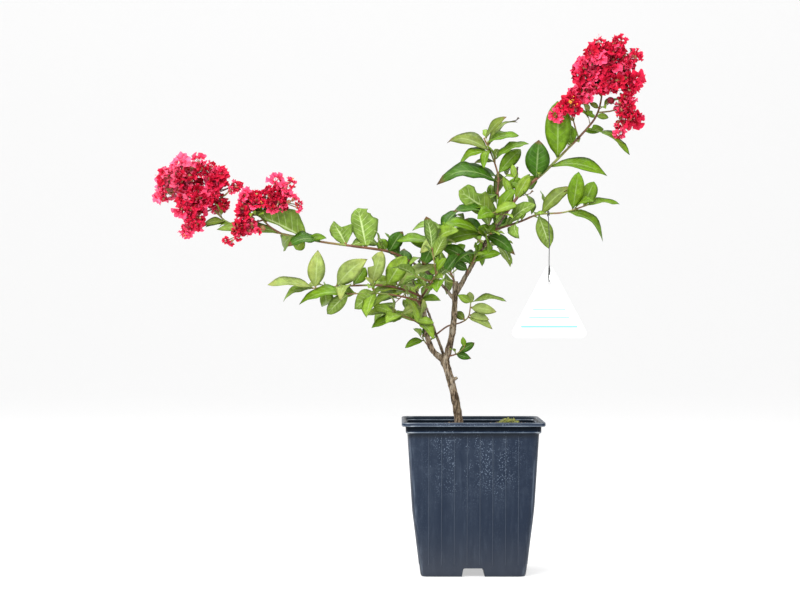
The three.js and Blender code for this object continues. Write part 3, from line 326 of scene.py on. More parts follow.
MASSES = {
  "right_arm": {
    "springs": ["right_bough", 1],
    "route": [[55, 20, 408], [80, 26, 430], [105, 33, 455], [116, 36, 466]],
    "radii": [1.9, 1.3], "fill": 4, "seed": 11,
    "leaves": [[0.05, 100, 36, 12], [0.14, 60, 34, 14], [0.3, 159, 20, 13], [0.43, 86, 43, 27],
      [0.61, -10, 62, 14], [0.72, 90, 63, 29], [0.93, 107, 24, 15]],
  },
  "right_flower_head": {
    "springs": ["right_arm", 1],
    "route": [[126, 37, 477], [136, 38, 490], [142, 40, 508], [144, 40, 550]],
    "radii": [1.3, 0.8], "seed": 31,
    "leaves": [[0.12, 8, 22, 10], [0.15, -32, 54, 8], [0.33, 150, 12, 7], [0.35, -5, 14, 7],
      [0.45, 150, 12, 6]],
    "hearts": [[0.02, 111, 33, 488], [0.4, 165, 40, 500], [0.6, 130, 40, 528], [0.7, 166, 40, 530]],
    "blossoms": [[138, 570, 10], [162, 571, 10], [147, 561, 11], [131, 553, 12], [164, 552, 13],
      [179, 555, 9], [120, 537, 13], [136, 540, 11], [151, 527, 11], [178, 527, 13], [117, 516, 10],
      [107, 502, 13], [92, 491, 9], [171, 506, 10], [173, 486, 13], [160, 472, 8], [153, 545, 11],
      [130, 521, 9]],
    "behind": 10,
  },
  "left_arm": {
    "springs": ["left_bough", 1],
    "route": [[-87, -12, 342], [-125, -18, 348], [-162, -24, 353], [-206, -30, 362]],
    "radii": [1.6, 1.1], "fill": 4, "seed": 14,
    "leaves": [[0.1, 130, 18, 14], [0.18, 56, 26, 16], [0.2, 122, 15, 13], [0.35, 102, 45, 29],
      [0.5, 118, 30, 26], [0.78, 3, 20, 8], [0.8, 154, 61, 24], [0.81, 233, 15, 14], [0.97, 177, 63, 10]],
  },
  "left_flower_head": {
    "springs": ["left_arm", 1],
    "route": [[-231, -31, 367], [-258, -30, 372], [-271, -28, 383], [-288, -28, 402]],
    "radii": [1.2, 0.8], "seed": 32,
    "leaves": [[0.5, 184, 30, 6], [0.6, 190, 24, 8], [0.85, 150, 14, 8]],
    "hearts": [[0.7, -278, -28, 412], [0.95, -306, -28, 414], [0.8, -294, -28, 382]],
    "blossoms": [[-323, 422, 13], [-308, 435, 11], [-290, 437, 10], [-328, 404, 11], [-277, 432, 6],
      [-268, 420, 12], [-252, 412, 7], [-310, 417, 11], [-288, 398, 13], [-301, 388, 12], [-264, 392, 7],
      [-292, 376, 10], [-303, 363, 8], [-277, 409, 8]],
    "behind": 8,
  },
  "second_flower_head": {
    "springs": ["left_arm", 0.98],
    "route": [[-214, -34, 368], [-223, -40, 377], [-231, -42, 389]],
    "radii": [1.1, 0.8], "seed": 33,
    "leaves": [[0.5, 100, 14, 8], [0.8, 80, 14, 8]],
    "hearts": [[0.5, -200, -42, 399], [0.6, -239, -40, 372]],
    "blossoms": [[-240, 401, 9], [-228, 396, 8], [-242, 383, 9], [-245, 370, 10], [-233, 368, 8],
      [-255, 352, 5], [-247, 357, 5], [-207, 415, 11], [-197, 409, 9], [-203, 401, 9], [-184, 391, 7]],
    "behind": 5,
  },
  "top_shoot": {
    "springs": ["right_bough", 0.96],
    "route": [[29, 26, 407], [30, 30, 423], [24, 32, 445], [14, 30, 467]],
    "radii": [1.3, 0.8], "fill": 3, "seed": 12,
    "leaves": [[0.44, 175, 66, 18], [0.5, 168, 56, 11], [0.54, 47, 39, 16], [0.69, 183, 22, 6],
      [0.71, 26, 42, 9], [0.8, 194, 37, 9], [0.83, 162, 50, 16], [0.88, 50, 44, 9], [0.93, 12, 36, 10],
      [0.98, 46, 33, 8]],
  },
  "side_shoot": {
    "springs": ["right_bough", 0.78],
    "route": [[52, -8, 375], [70, -16, 382], [97, -24, 384], [123, -30, 392]],
    "radii": [1.3, 0.8], "fill": 3, "seed": 13,
    "leaves": [[0.15, 37, 37, 13], [0.51, -71, 39, 18], [0.53, 42, 43, 15], [0.78, -29, 49, 11],
      [0.84, 82, 40, 18], [0.95, 66, 29, 17], [0.97, 2, 37, 7]],
  },
  "low_left_shoot": {
    "springs": ["left_stem", 0.98],
    "route": [[-70, -18, 301], [-93, -26, 306], [-126, -34, 306], [-170, -42, 303]],
    "radii": [1.4, 0.8], "fill": 4, "seed": 15,
    "leaves": [[0.14, 200, 42, 9], [0.2, 187, 33, 8], [0.25, 29, 51, 11], [0.34, 56, 38, 21],
      [0.48, 72, 38, 18], [0.64, 55, 24, 15], [0.79, 42, 42, 21], [0.97, 86, 40, 19], [0.99, 176, 48, 10],
      [1, 196, 36, 9], [0.06, -2, 23, 9]],
  },
  "low_left_twig": {
    "springs": ["left_stem", 0.9],
    "route": [[-73, -26, 294], [-102, -40, 298], [-132, -50, 297]],
    "radii": [1.2, 0.7], "fill": 4, "seed": 16,
    "leaves": [[0.33, 193, 30, 10], [0.64, 215, 29, 21], [0.98, 222, 32, 15], [1, 191, 54, 12],
      [0.04, 3, 22, 8]],
  },
  "low_left_spray": {
    "springs": ["left_stem", 0.55],
    "route": [[-62, -22, 269], [-74, -34, 274], [-88, -44, 278]],
    "radii": [1.1, 0.7], "fill": 4, "seed": 17,
    "leaves": [[0.25, 159, 31, 10], [0.4, -8, 22, 9], [0.65, 199, 37, 11], [0.72, 22, 23, 9],
      [0.9, 161, 23, 9]],
  },
  "bough_spray_low": {
    "springs": ["right_bough", 0.25],
    "route": [[-4, -8, 323], [1, -20, 331]],
    "radii": [1.2, 0.8], "fill": 2, "seed": 18,
    "leaves": [[0.9, 150, 37, 14], [0.5, 154, 18, 10], [0.97, 19, 32, 11]],
  },
  "bough_spray_mid": {
    "springs": ["right_bough", 0.66],
    "route": [[15, -6, 360], [8, -20, 362]],
    "radii": [1.3, 0.8], "fill": 4, "seed": 19,
    "leaves": [[0.45, -32, 34, 14], [0.6, 47, 16, 9], [0.7, 190, 30, 10], [0.8, 139, 25, 14],
      [0.9, 193, 44, 15], [1, 168, 40, 12]],
  },
  "bough_spray_top": {
    "springs": ["right_bough", 0.88],
    "route": [[27, -2, 381], [22, -16, 384]],
    "radii": [1.3, 0.8], "fill": 3, "seed": 20,
    "leaves": [[0.3, 146, 50, 26], [0.7, 176, 46, 9], [0.6, 55, 34, 12], [0.9, 20, 26, 10]],
  },
  "centre_left_shoot": {
    "springs": ["left_bough", 0.72],
    "route": [[-47, -16, 342], [-38, -24, 355], [-28, -28, 367]],
    "radii": [1.3, 0.8], "fill": 4, "seed": 21,
    "leaves": [[0.2, 52, 40, 16], [0.45, 143, 30, 13], [0.5, 60, 28, 13], [0.62, 175, 40, 10],
      [0.7, -118, 30, 16], [0.85, 222, 30, 13], [0.93, 41, 29, 9], [0.97, 174, 34, 8]],
  },
  "crossing_twig": {
    "springs": ["middle_stem", 0.45],
    "route": [[-25, 13, 263], [-13, 12, 266], [-4, 4, 272], [-1, -6, 289]],
    "radii": [1, 0.6], "fill": 3, "seed": 22,
    "leaves": [[0.6, 142, 14, 9], [0.68, -25, 29, 10], [0.73, -12, 22, 10], [0.88, -9, 28, 12],
      [0.96, 95, 13, 9], [1, 2, 39, 6], [0.98, 150, 16, 9]],
  },
  "low_right_twig": {
    "springs": ["right_stem", 0.06],
    "route": [[-15, -8, 234], [-8, -14, 241]],
    "radii": [1, 0.6], "seed": 23,
    "leaves": [[0.6, 33, 20, 9], [0.45, -16, 17, 8], [1, 100, 11, 6]],
  },
  "low_stem_twig": {
    "springs": ["left_stem", 0.22],
    "route": [[-51, 2, 247], [-53, -2, 252]],
    "radii": [0.9, 0.6], "seed": 24,
    "leaves": [[0.7, 200, 22, 8], [1, 60, 16, 8]],
  },
  "back_left_shoot": {
    "springs": ["left_stem", 0.8],
    "route": [[-60, 24, 292], [-68, 50, 302], [-76, 76, 310]],
    "radii": [1.4, 0.8], "twigs": 5, "seed": 25,
  },
  "back_middle_shoot": {
    "springs": ["right_stem", 0.9],
    "route": [[-19, 34, 314], [-24, 58, 326], [-26, 84, 336]],
    "radii": [1.5, 0.8], "twigs": 5, "seed": 26,
  },
  "back_right_shoot": {
    "springs": ["right_bough", 0.6],
    "route": [[16, 38, 350], [20, 60, 358], [22, 82, 364]],
    "radii": [1.4, 0.8], "twigs": 5, "seed": 27,
  },
  "front_shoot": {
    "springs": ["left_stem", 0.97],
    "route": [[-47, -34, 304], [-42, -54, 312], [-38, -72, 320]],
    "radii": [1.3, 0.8], "twigs": 4, "seed": 28,
  },
}

# Where open air shows through the crown from the open side: least and most x, least and most z.
OPEN_SPOTS = (
    (-24, 44, 243, 329),
    (-49, -24, 256, 294),
    (-112, -53, 200, 251),
    (84, 167, 400, 452),
    (50, 165, 322, 377),
    (-195, -93, 316, 344),
)

# How leaves, twigs and blossoms grow, in millimetres and degrees.
GAP = 0.3  # room kept round a leaf
LEAF_TURN = 26  # how far a leaf turns towards or away from the open side
LEAF_SWING = 9  # how much further it turns with each try
MOST_TURN = 50
LEAF_TRIES = 9
LEAST_RATIO = 0.4  # of a leaf's width to its length
PLAIN_BELOW = 40  # shorter leaves have one station fewer
PETIOLE = 0.9  # the least half width of a leaf
PETIOLE_SHARE = 0.18  # share of a leaf's length that may lie against its neighbours
LAST_SHARE = 0.985
TWIG_LENGTH, TWIG_RADIUS, TWIG_LEAVES = 26, 0.9, 3
FINE_TWIGS, FINE_RADIUS, FINE_LEAVES = 4, 0.6, 3
FLOWER_SPREAD = 1.1  # of a blossom's solid to its planned reach
FLOWER_NEAREST = 6  # the least distance in front of the head's middle
FLOWER_TRIES = 10
LEAST_STALK = 7
STALK_RADIUS = 0.8
STALK_SHOULDER = 0.12  # the share of a stalk that runs to a point, at each end
BRANCH_RADIUS = 1.0
MORE_FLOWERS = 6  # tries for smaller ones behind each flower
LEAST_APART = 4.9  # between the middles of two flowers
BUD_SHARE = 0.28  # share of the stalks that carry a bud too
# How the leaves of side twigs and of fine twigs vary: the least of each value and its range.
TWIG_LEAF = {
    "spread": (50, 25), "back": 0.5, "up": 1.0, "length": (27, 14),
    "ratio": (0.42, 0.08), "fold": (0.1, 0.15), "arch": (0.04, 0.06),
}
FINE_LEAF = {
    "spread": (45, 30), "back": 0.9, "up": 0.9, "length": (10, 11),
    "ratio": (0.4, 0.1), "fold": (0.1, 0.2), "arch": (0.04, 0.08),
}
GOLDEN_ANGLE = math.pi * (3 - math.sqrt(5))
SKY = np.array([0.0, 0.0, 1.0])
OPEN_SIDE = np.array([0.0, -1.0, 0.0])


class Shape:
    """A coarse shape that can tell whether it touches another."""

    def __init__(self, corners, faces):
        self.corners = np.asarray(corners, float)
        self.faces = faces
        self.low, self.high = self.corners.min(0), self.corners.max(0)
        self.made = None

    @property
    def tree(self):
        if self.made is None:
            self.made = BVHTree.FromPolygons(self.corners.tolist(), self.faces)
        return self.made

    def touches(self, other):
        if (self.low > other.high).any() or (other.low > self.high).any():
            return False
        return bool(self.tree.overlap(other.tree))


def touches_any(shape, others):
    return any(shape.touches(other) for other in others)


def trimmed(leaf, share):
    """The leaf without that share of its length at its foot."""
    foot = leaf["base"] + leaf["along"] * leaf["length"] * share
    return {**leaf, "base": foot, "length": leaf["length"] * (1 - share)}


def tapered(radii, shares):
    return radii[0] + (radii[1] - radii[0]) * shares


def coarse_limb(route, radii, sides, steps):
    shares = np.linspace(0, 1, steps + 1)
    widths = tapered(radii, shares)
    return Shape(*rings([route.point(share) for share in shares], widths, sides))


def coarse_stalk(start, end, radius):
    shares = (0, STALK_SHOULDER, 1 - STALK_SHOULDER, 1)
    return Shape(*rings([start + (end - start) * share for share in shares], (0.01, radius, radius, 0.01), 3))


FULL_OUTLINE = ((0, 0), (0.1, 0.1), (0.4, 1), (0.72, 0.86), (1, 0))
PLAIN_OUTLINE = ((0, 0), (0.38, 1), (0.72, 0.82), (1, 0))


def coarse_leaf(leaf, grow=0.0):
    """The leaf as the part's solid has it: a thin lens of a few faces."""
    base, along, face, length = leaf["base"], leaf["along"], leaf["face"], leaf["length"]
    side = unit(np.cross(face, along))
    stations = leaf.get("outline", PLAIN_OUTLINE)
    corners = [base - along * grow]
    for at, share in stations[1:-1]:
        half = max(share * leaf["width"] / 2, PETIOLE) + grow
        thick = 0.4 + (0.45 if share == 0.1 else 0) + grow
        middle = base + along * at * length + face * leaf["arch"] * length * math.sin(math.pi * at)
        lifted = middle + face * leaf["fold"] * half
        corners += [lifted + side * half, middle + face * thick, lifted - side * half, middle - face * thick]
    corners.append(base + along * (length + grow))
    last = len(corners) - 1
    faces = []
    for j in range(4):
        k = (j + 1) % 4
        faces.append([0, 1 + k, 1 + j])
        faces.append([last, last - 4 + j, last - 4 + k])
        for i in range(1, last - 4, 4):
            faces.append([i + j, i + k, i + 4 + k, i + 4 + j])
    return Shape(corners, faces)


def coarse_blossom(centre, facing, radius, draw):
    """The blossom as the part's solid has it: a ruffled star of twelve corners."""
    rim = 12
    reach = [0.85 + 0.3 * draw() for _ in range(rim)]
    wave = [draw() - 0.4 for _ in range(rim)]
    turn = Vector((0, 1, 0)).rotation_difference(Vector(facing)).to_matrix()
    corners = [[0, 0, 0], [0, -1.6, 0]]
    for step in range(rim):
        angle = step * 2 * math.pi / rim
        outward = 0.55 if step % 2 == 0 else 1
        lift = 0 if outward < 1 else 3 * (wave[step] + 0.5)
        far = radius * outward * reach[step]
        corners.append([math.cos(angle) * far, lift, math.sin(angle) * far])
    places = np.array([turn @ Vector(corner) for corner in corners]) + centre
    faces = []
    for step in range(rim):
        after = 2 + (step + 1) % rim
        faces += [[0, after, 2 + step], [1, 2 + step, after]]
    return Shape(places, faces)


def leaf_frame(heading, depth, roll):
    """Which way a leaf points and which way its upper face looks."""
    flat = math.cos(math.radians(depth))
    heading = math.radians(heading)
    along = np.array([math.cos(heading) * flat, math.sin(math.radians(depth)), math.sin(heading) * flat])
    face = unit(OPEN_SIDE - along * np.dot(OPEN_SIDE, along))
    upper = np.cross(along, face)
    if upper[2] < 0:
        upper = -upper
    return {"along": along, "face": unit(face * math.cos(roll) + upper * math.sin(roll))}


class Growth:
    """Grows the whole plant once, by the same seeded rule as the part's source."""

    def __init__(self):
        self.routes = {}
        self.placed = {}
        self.leaves = []
        self.twigs = []
        self.stalks = []
        self.flowers = []
        self.buds = []
        for name, limb in LIMBS.items():
            self.routes[name] = self.route_of(limb)
            self.placed[name] = [coarse_limb(self.routes[name], limb["radii"], limb["sides"], limb["steps"])]
        self.placed["label"] = [Shape(*box_corners(LABEL_LOW, LABEL_HIGH))]
        self.placed["label_wire"] = [Shape(*box_corners(WIRE_LOW, WIRE_HIGH))]
        for name, mass in MASSES.items():
            self.routes[name] = self.route_of(mass)
            stem = coarse_limb(self.routes[name], mass["radii"], 4, 8)
            branches = [
                coarse_stalk(self.routes[name].point(at), np.array(heart, float), BRANCH_RADIUS)
                for at, *heart in mass.get("hearts", [])
            ]
            self.placed[name] = [stem, *branches]
        for name, mass in MASSES.items():
            self.grow_mass(name, mass)

    def route_of(self, limb):
        springs = limb.get("springs")
        start = [self.routes[springs[0]].point(springs[1])] if springs else []
        return Route([*start, *limb["route"]])

    def grow_mass(self, name, mass):
        """Leaves by the mass's rows, then its fill, its side twigs and its blossom."""
        draw = seeded_draws(mass["seed"])
        route = self.routes[name]
        others = [shape for piece, shapes in self.placed.items() if piece != name for shape in shapes]
        blades = []
        grown = []
        for order, row in enumerate(mass.get("leaves", [])):
            planned = self.grow_leaf(
                lambda attempt: planned_leaf(route, row, draw, attempt), others, blades, planned=True
            )
            for leaf in planned:
                leaf["row"] = (name, order)
            grown += planned
        count = mass.get("fill", 0)
        for order in range(count):
            grown += self.grow_leaf(lambda _: fill_leaf(route, order, count, draw), others, blades)
        for order in range(mass.get("twigs", 0)):
            grown += self.side_twig(route, order, mass["twigs"], draw, others, blades)
        for leaf in grown:
            leaf["mass"] = name
        self.leaves += grown
        if "blossoms" in mass:
            self.blossom_head(name, route, mass, draw, [*others, *blades])
        self.placed[name] += [coarse_leaf(leaf) for leaf in grown]

    def grow_leaf(self, make, others, blades, planned=False):
        """A leaf is kept only where it touches no other piece, and its blade no blade of its mass."""
        for attempt in range(LEAF_TRIES):
            leaf = make(attempt)
            if not planned and covers_open_spot(leaf):
                continue
            blade, whole = coarse_leaf(trimmed(leaf, PETIOLE_SHARE), GAP), coarse_leaf(leaf, GAP)
            if touches_any(whole, others) or touches_any(blade, blades):
                continue
            blades.append(blade)
            return [leaf]
        return []

    def side_twig(self, route, order, count, draw, others, blades):
        """A side twig goes off the stem by the golden angle and carries alternate leaves."""
        at = 0.3 + 0.68 * (order + 0.5) / count
        tangent = route.tangent(at)
        around = turned(unit(np.cross(SKY, tangent)), tangent, order * GOLDEN_ANGLE + draw())
        start = route.point(at)
        heading = unit(tangent * 0.55 + around)
        length = TWIG_LENGTH * (0.8 + 0.4 * draw())
        end = start + heading * length + SKY * length * 0.15
        if touches_any(coarse_stalk(start, end, TWIG_RADIUS), others):
            return []
        self.twigs.append({"points": [start, end], "radii": (TWIG_RADIUS, 0.5)})
        grown = []
        for i in range(TWIG_LEAVES):
            row = (TWIG_LEAF, start, end, heading, (i + 1) / TWIG_LEAVES, 1 if i % 2 else -1)
            grown += self.grow_leaf(lambda _, row=row: twig_leaf(*row, draw), others, blades)
        return grown

    def blossom_head(self, name, route, mass, draw, others):
        """Blossoms by the mass's rows, then some behind them, each on a stalk from a fork."""
        hearts, blossoms, behind = mass["hearts"], mass["blossoms"], mass["behind"]
        forks = [
            route.point(at) + (np.array(heart, float) - route.point(at)) * (1 - STALK_SHOULDER)
            for at, *heart in hearts
        ]
        forks.append(route.point(LAST_SHARE))
        middle = np.mean([[x, 0, z] for x, z, _ in blossoms], axis=0)
        middle[1] = hearts[0][2]
        blooms = []
        for row in blossoms:
            self.blossom(name, middle, row, -1, forks, draw, others, blooms)
        for i in range(behind):
            x, z, reach = blossoms[i * len(blossoms) // behind]
            inward = 0.1 + 0.15 * draw()
            row = [x + (middle[0] - x) * inward, z + (middle[2] - z) * inward, reach]
            self.blossom(name, middle, row, 1, forks, draw, others, blooms)
        self.placed[name] += blooms

    def blossom(self, name, head, row, side, forks, draw, others, blooms):
        """A blossom faces away from the head's middle; one that touches another moves further out."""
        x, z, reach = row
        for attempt in range(FLOWER_TRIES):
            depth = side * (FLOWER_NEAREST + 5 * draw() + 3.2 * attempt)
            centre = np.array([x, head[1] + depth, z])
            facing = unit(unit(centre - head) - OPEN_SIDE * 0.5 * side)
            shape = coarse_blossom(centre, facing, reach * FLOWER_SPREAD, draw)
            if touches_any(shape, [*others, *blooms]):
                continue
            foot = centre - facing * 0.7 + unit(np.cross(SKY, facing)) * 1.8
            for fork in sorted(forks, key=lambda fork: np.linalg.norm(fork - foot)):
                if np.linalg.norm(fork - foot) <= LEAST_STALK:
                    continue
                stalk = coarse_stalk(fork, foot, STALK_RADIUS)
                if not touches_any(stalk, [*others, *blooms]):
                    blooms.append(shape)
                    forks.append((fork + foot) / 2)
                    self.stalks.append({"mass": name, "points": [fork, foot]})
                    flower = {"mass": name, "centre": centre, "facing": facing, "radius": reach}
                    if (x, z) == OPEN_FLOWER:
                        flower |= {"golden": True, "facing": unit(OPEN_SIDE + 0.3 * SKY), "shade": DARK_SHADE}
                        flower["centre"] = centre + 10 * OPEN_SIDE
                    self.flowers.append(flower)
                    return

    def dress(self):
        """Deals out leaf colours and adds what only shows close up: twiglets, buds and more flowers."""
        for order, leaf in enumerate(self.leaves):
            self.tint(leaf, seeded_draws(SEED["tints"] + order))
        for name, mass in MASSES.items():
            self.fine_twigs(name, seeded_draws(SEED["fine_twigs"] + mass["seed"]))
        self.more_flowers(seeded_draws(SEED["flowers"]))
        self.add_buds(seeded_draws(SEED["buds"]))

    def tint(self, leaf, draw):
        """A leaf's colour comes from its spray; some show their underside, curl or are eaten."""
        name, order = leaf.get("row", (leaf["mass"], NO_ROW))
        rows, others = DEALT.get(name, DEALT_TO_OTHERS)
        letter = rows[order] if order < len(rows) else others[int(draw() * len(others))]
        leaf["tint"] = max(LETTERS.find(letter.upper()), 0)
        leaf["turned_over"] = letter.islower()
        leaf["curl"] = 0.5 * draw() if draw() < 0.3 else 0.05
        if draw() < 0.2:
            side = 1 if draw() < 0.5 else -1
            leaf["bite"] = (side, 0.3 + 0.4 * draw(), 0.1 + 0.1 * draw(), 0.3 + 0.4 * draw())
        leaf.update(KNOWN_LEAVES.get(leaf.get("row"), {}))
        if "lean" in leaf:
            leaf["along"] = unit(leaf["along"] + OPEN_SIDE * leaf["lean"])
            side = unit(np.cross(leaf["along"], OPEN_SIDE + 0.3 * SKY))
            leaf["face"] = np.cross(side, leaf["along"])

    def fine_twigs(self, name, draw):
        """Short soft side shoots with small leaves, where they touch nothing."""
        route = self.routes[name]
        others = [shape for piece, shapes in self.placed.items() if piece != name for shape in shapes]
        others += [coarse_leaf(leaf) for leaf in self.leaves if leaf["mass"] == name]
        for order in range(FINE_TWIGS):
            at = 0.12 + 0.86 * (order + 0.5) / FINE_TWIGS
            tangent = route.tangent(at)
            around = turned(unit(np.cross(SKY, tangent)), tangent, order * GOLDEN_ANGLE + 2 * draw())
            start = route.point(at)
            heading = unit(tangent * 0.7 + around)
            end = start + heading * (8 + 8 * draw()) + SKY * 1.5
            if touches_any(coarse_stalk(start, end, FINE_RADIUS), others):
                continue
            kept = []
            for i in range(FINE_LEAVES):
                share = (i + 1) / FINE_LEAVES
                leaf = twig_leaf(FINE_LEAF, start, end, heading, share, 1 if i % 2 else -1, draw)
                shape = coarse_leaf(trimmed(leaf, 0.25))
                if covers_open_spot(leaf) or touches_any(shape, others):
                    continue
                leaf["mass"] = name
                self.tint(leaf, draw)
                leaf["tint"] += leaf["tint"] < LIME
                others.append(shape)
                kept.append(leaf)
            if kept:
                self.twigs.append({"points": [start, end], "radii": (0.65, 0.4)})
                self.leaves += kept

    def more_flowers(self, draw):
        """Smaller flowers deeper in each head, so that it is full."""
        first = list(self.flowers)
        for flower in first:
            middle = np.mean([other["centre"] for other in first if other["mass"] == flower["mass"]], axis=0)
            for _ in range(MORE_FLOWERS):
                jitter = np.array([draw() - 0.5, draw() - 0.5, draw() - 0.5])
                inward = (middle - flower["centre"]) * (0.6 * draw() - 0.02)
                centre = flower["centre"] + inward + jitter * 14
                astray = np.array([draw() - 0.5, draw() - 0.8, draw() - 0.5])
                facing = unit(unit(flower["centre"] - middle) + 1.2 * astray)
                radius = max(flower["radius"], 8) * (0.6 + 0.3 * draw())
                # Some deeper flowers take the dark copy, as painted shade.
                shade = DARK_SHADE if draw() < 0.12 else CRIMSON if draw() < 0.6 else ROSE_HIGHLIGHT
                if min(np.linalg.norm(centre - other["centre"]) for other in self.flowers) < LEAST_APART:
                    continue
                x, _, z = centre
                if any(abs(x - at) < half and abs(z - up) < tall for at, up, half, tall in HEAD_GAPS):
                    continue
                words = {"mass": flower["mass"], "centre": centre, "facing": facing, "radius": radius}
                self.flowers.append({**words, "shade": shade})
                joints = [stalk["points"][0] for stalk in self.stalks if stalk["mass"] == flower["mass"]]
                stalk = [nearest(joints, centre), centre - facing * 3]
                self.stalks.append({"mass": flower["mass"], "points": stalk})

    def add_buds(self, draw):
        """Round buds and spent cups on short stalks among the flowers."""
        for stalk in list(self.stalks):
            if draw() < 1 - BUD_SHARE:
                continue
            start, end = stalk["points"]
            foot = start + (end - start) * (0.3 + 0.5 * draw())
            facing = unit(unit(end - start) + 1.3 * np.array([draw() - 0.5, draw() - 0.6, draw() - 0.3]))
            size = 1.3 + 1.4 * draw()
            centre = foot + facing * (3.5 + 5 * draw())
            bud = {"foot": foot, "centre": centre, "facing": facing, "size": size}
            self.buds.append({**bud, "finish": BUD_RED if draw() < 0.5 else CALYX})
        joints = [stalk["points"][0] for stalk in self.stalks]
        for *centre, size, finish in PROUD_BUDS:
            centre = np.array(centre)
            foot = nearest(joints, centre)
            bud = {"foot": foot, "centre": centre, "facing": unit(centre - foot), "size": size}
            self.buds.append({**bud, "finish": finish})


def nearest(places, place):
    return min(places, key=lambda other: np.linalg.norm(other - place))


def twig_leaf(kind, start, end, heading, share, side, draw):
    """A leaf of a twig: it spreads to one side, or goes straight on at the twig's tip."""

    def vary(words):
        least, more = kind[words]
        return least + more * draw()

    spread = 0 if share == 1 else math.radians(vary("spread")) * side
    sky = unit(np.array([draw() - 0.5, draw() - kind["back"], kind["up"]]))
    along = unit(turned(heading, sky, spread) + sky * 0.3 * (draw() - 0.4))
    length = vary("length")
    return {
        "base": start + (end - start) * min(share, LAST_SHARE),
        "along": along,
        "face": unit(sky - along * np.dot(sky, along)),
        "length": length,
        "width": length * vary("ratio"),
        "fold": vary("fold"),
        "arch": vary("arch"),
    }


def planned_leaf(route, row, draw, attempt):
    """A leaf that a row plans. It turns further with each try, and its outline keeps its size."""
    at, heading, length, width = row
    swing = LEAF_SWING * attempt * (1 if attempt % 2 else -1)
    depth = min(max(LEAF_TURN * (2 * draw() - 1) + swing, -MOST_TURN), MOST_TURN)
    true_length = length / math.cos(math.radians(depth))
    true_width = max(width, LEAST_RATIO * true_length)
    return {
        "base": route.point(min(at, LAST_SHARE)),
        **leaf_frame(heading, depth, math.acos(width / true_width)),
        "length": true_length,
        "width": true_width,
        "fold": 0.1 + 0.12 * draw(),
        "arch": 0.02 + 0.06 * draw(),
        "outline": PLAIN_OUTLINE if length < PLAIN_BELOW else FULL_OUTLINE,
    }


def covers_open_spot(leaf):
    """Whether a leaf would stand where the crown is open."""
    for share in (0.35, 0.7, 1):
        x, _, z = leaf["base"] + leaf["along"] * share * leaf["length"]
        if any(left < x < right and low < z < high for left, right, low, high in OPEN_SPOTS):
            return True
    return False


def fill_leaf(route, order, count, draw):
    """A further leaf of a stem, at any heading, by turns towards the open side and away from it."""
    depth = (1 if order % 2 else -1) * (32 + 36 * draw())
    length = 28 + 14 * draw()
    heading = 360 * draw()
    words = leaf_frame(heading, depth, math.radians(20 + 60 * draw()))
    return {
        "base": route.point(min(0.15 + 0.85 * (order + 0.5) / count, LAST_SHARE)),
        **words,
        "length": length,
        "width": length * (0.42 + 0.08 * draw()),
        "fold": 0.1 + 0.15 * draw(),
        "arch": 0.03 + 0.06 * draw(),
    }


def box_corners(low, high):
    """The corners and faces of a plain box between two corners."""
    box = bmesh.new()
    bmesh.ops.create_cube(box, size=1)
    corners = [[l + (h - l) * (c + 0.5) for l, h, c in zip(low, high, v.co)] for v in box.verts]
    faces = [[v.index for v in f.verts] for f in box.faces]
    box.free()
    return corners, faces


# ---- finishes: small helpers that build shader nodes ----
class Val:
    """A number that varies over a surface. Python operators on it add Math nodes."""

    def __init__(self, finish, socket):
        self.finish = finish
        self.socket = socket

    def __add__(self, other):
        return self.finish.maths("ADD", self, other)

    __radd__ = __add__

    def __sub__(self, other):
        return self.finish.maths("SUBTRACT", self, other)

    def __rsub__(self, other):
        return self.finish.maths("SUBTRACT", other, self)

    def __mul__(self, other):
        return self.finish.maths("MULTIPLY", self, other)


SOCKETS = {"specular": "Specular IOR Level", "coat": "Coat Weight", "sheen": "Sheen Weight"}


def scaled(colour, by):
    """A colour made lighter or darker."""
    return tuple(min(c * by, 1) for c in colour)


def between(first, second, share):
    """A plain colour between two colours."""
    return tuple((1 - share) * a + share * b for a, b in zip(first, second))


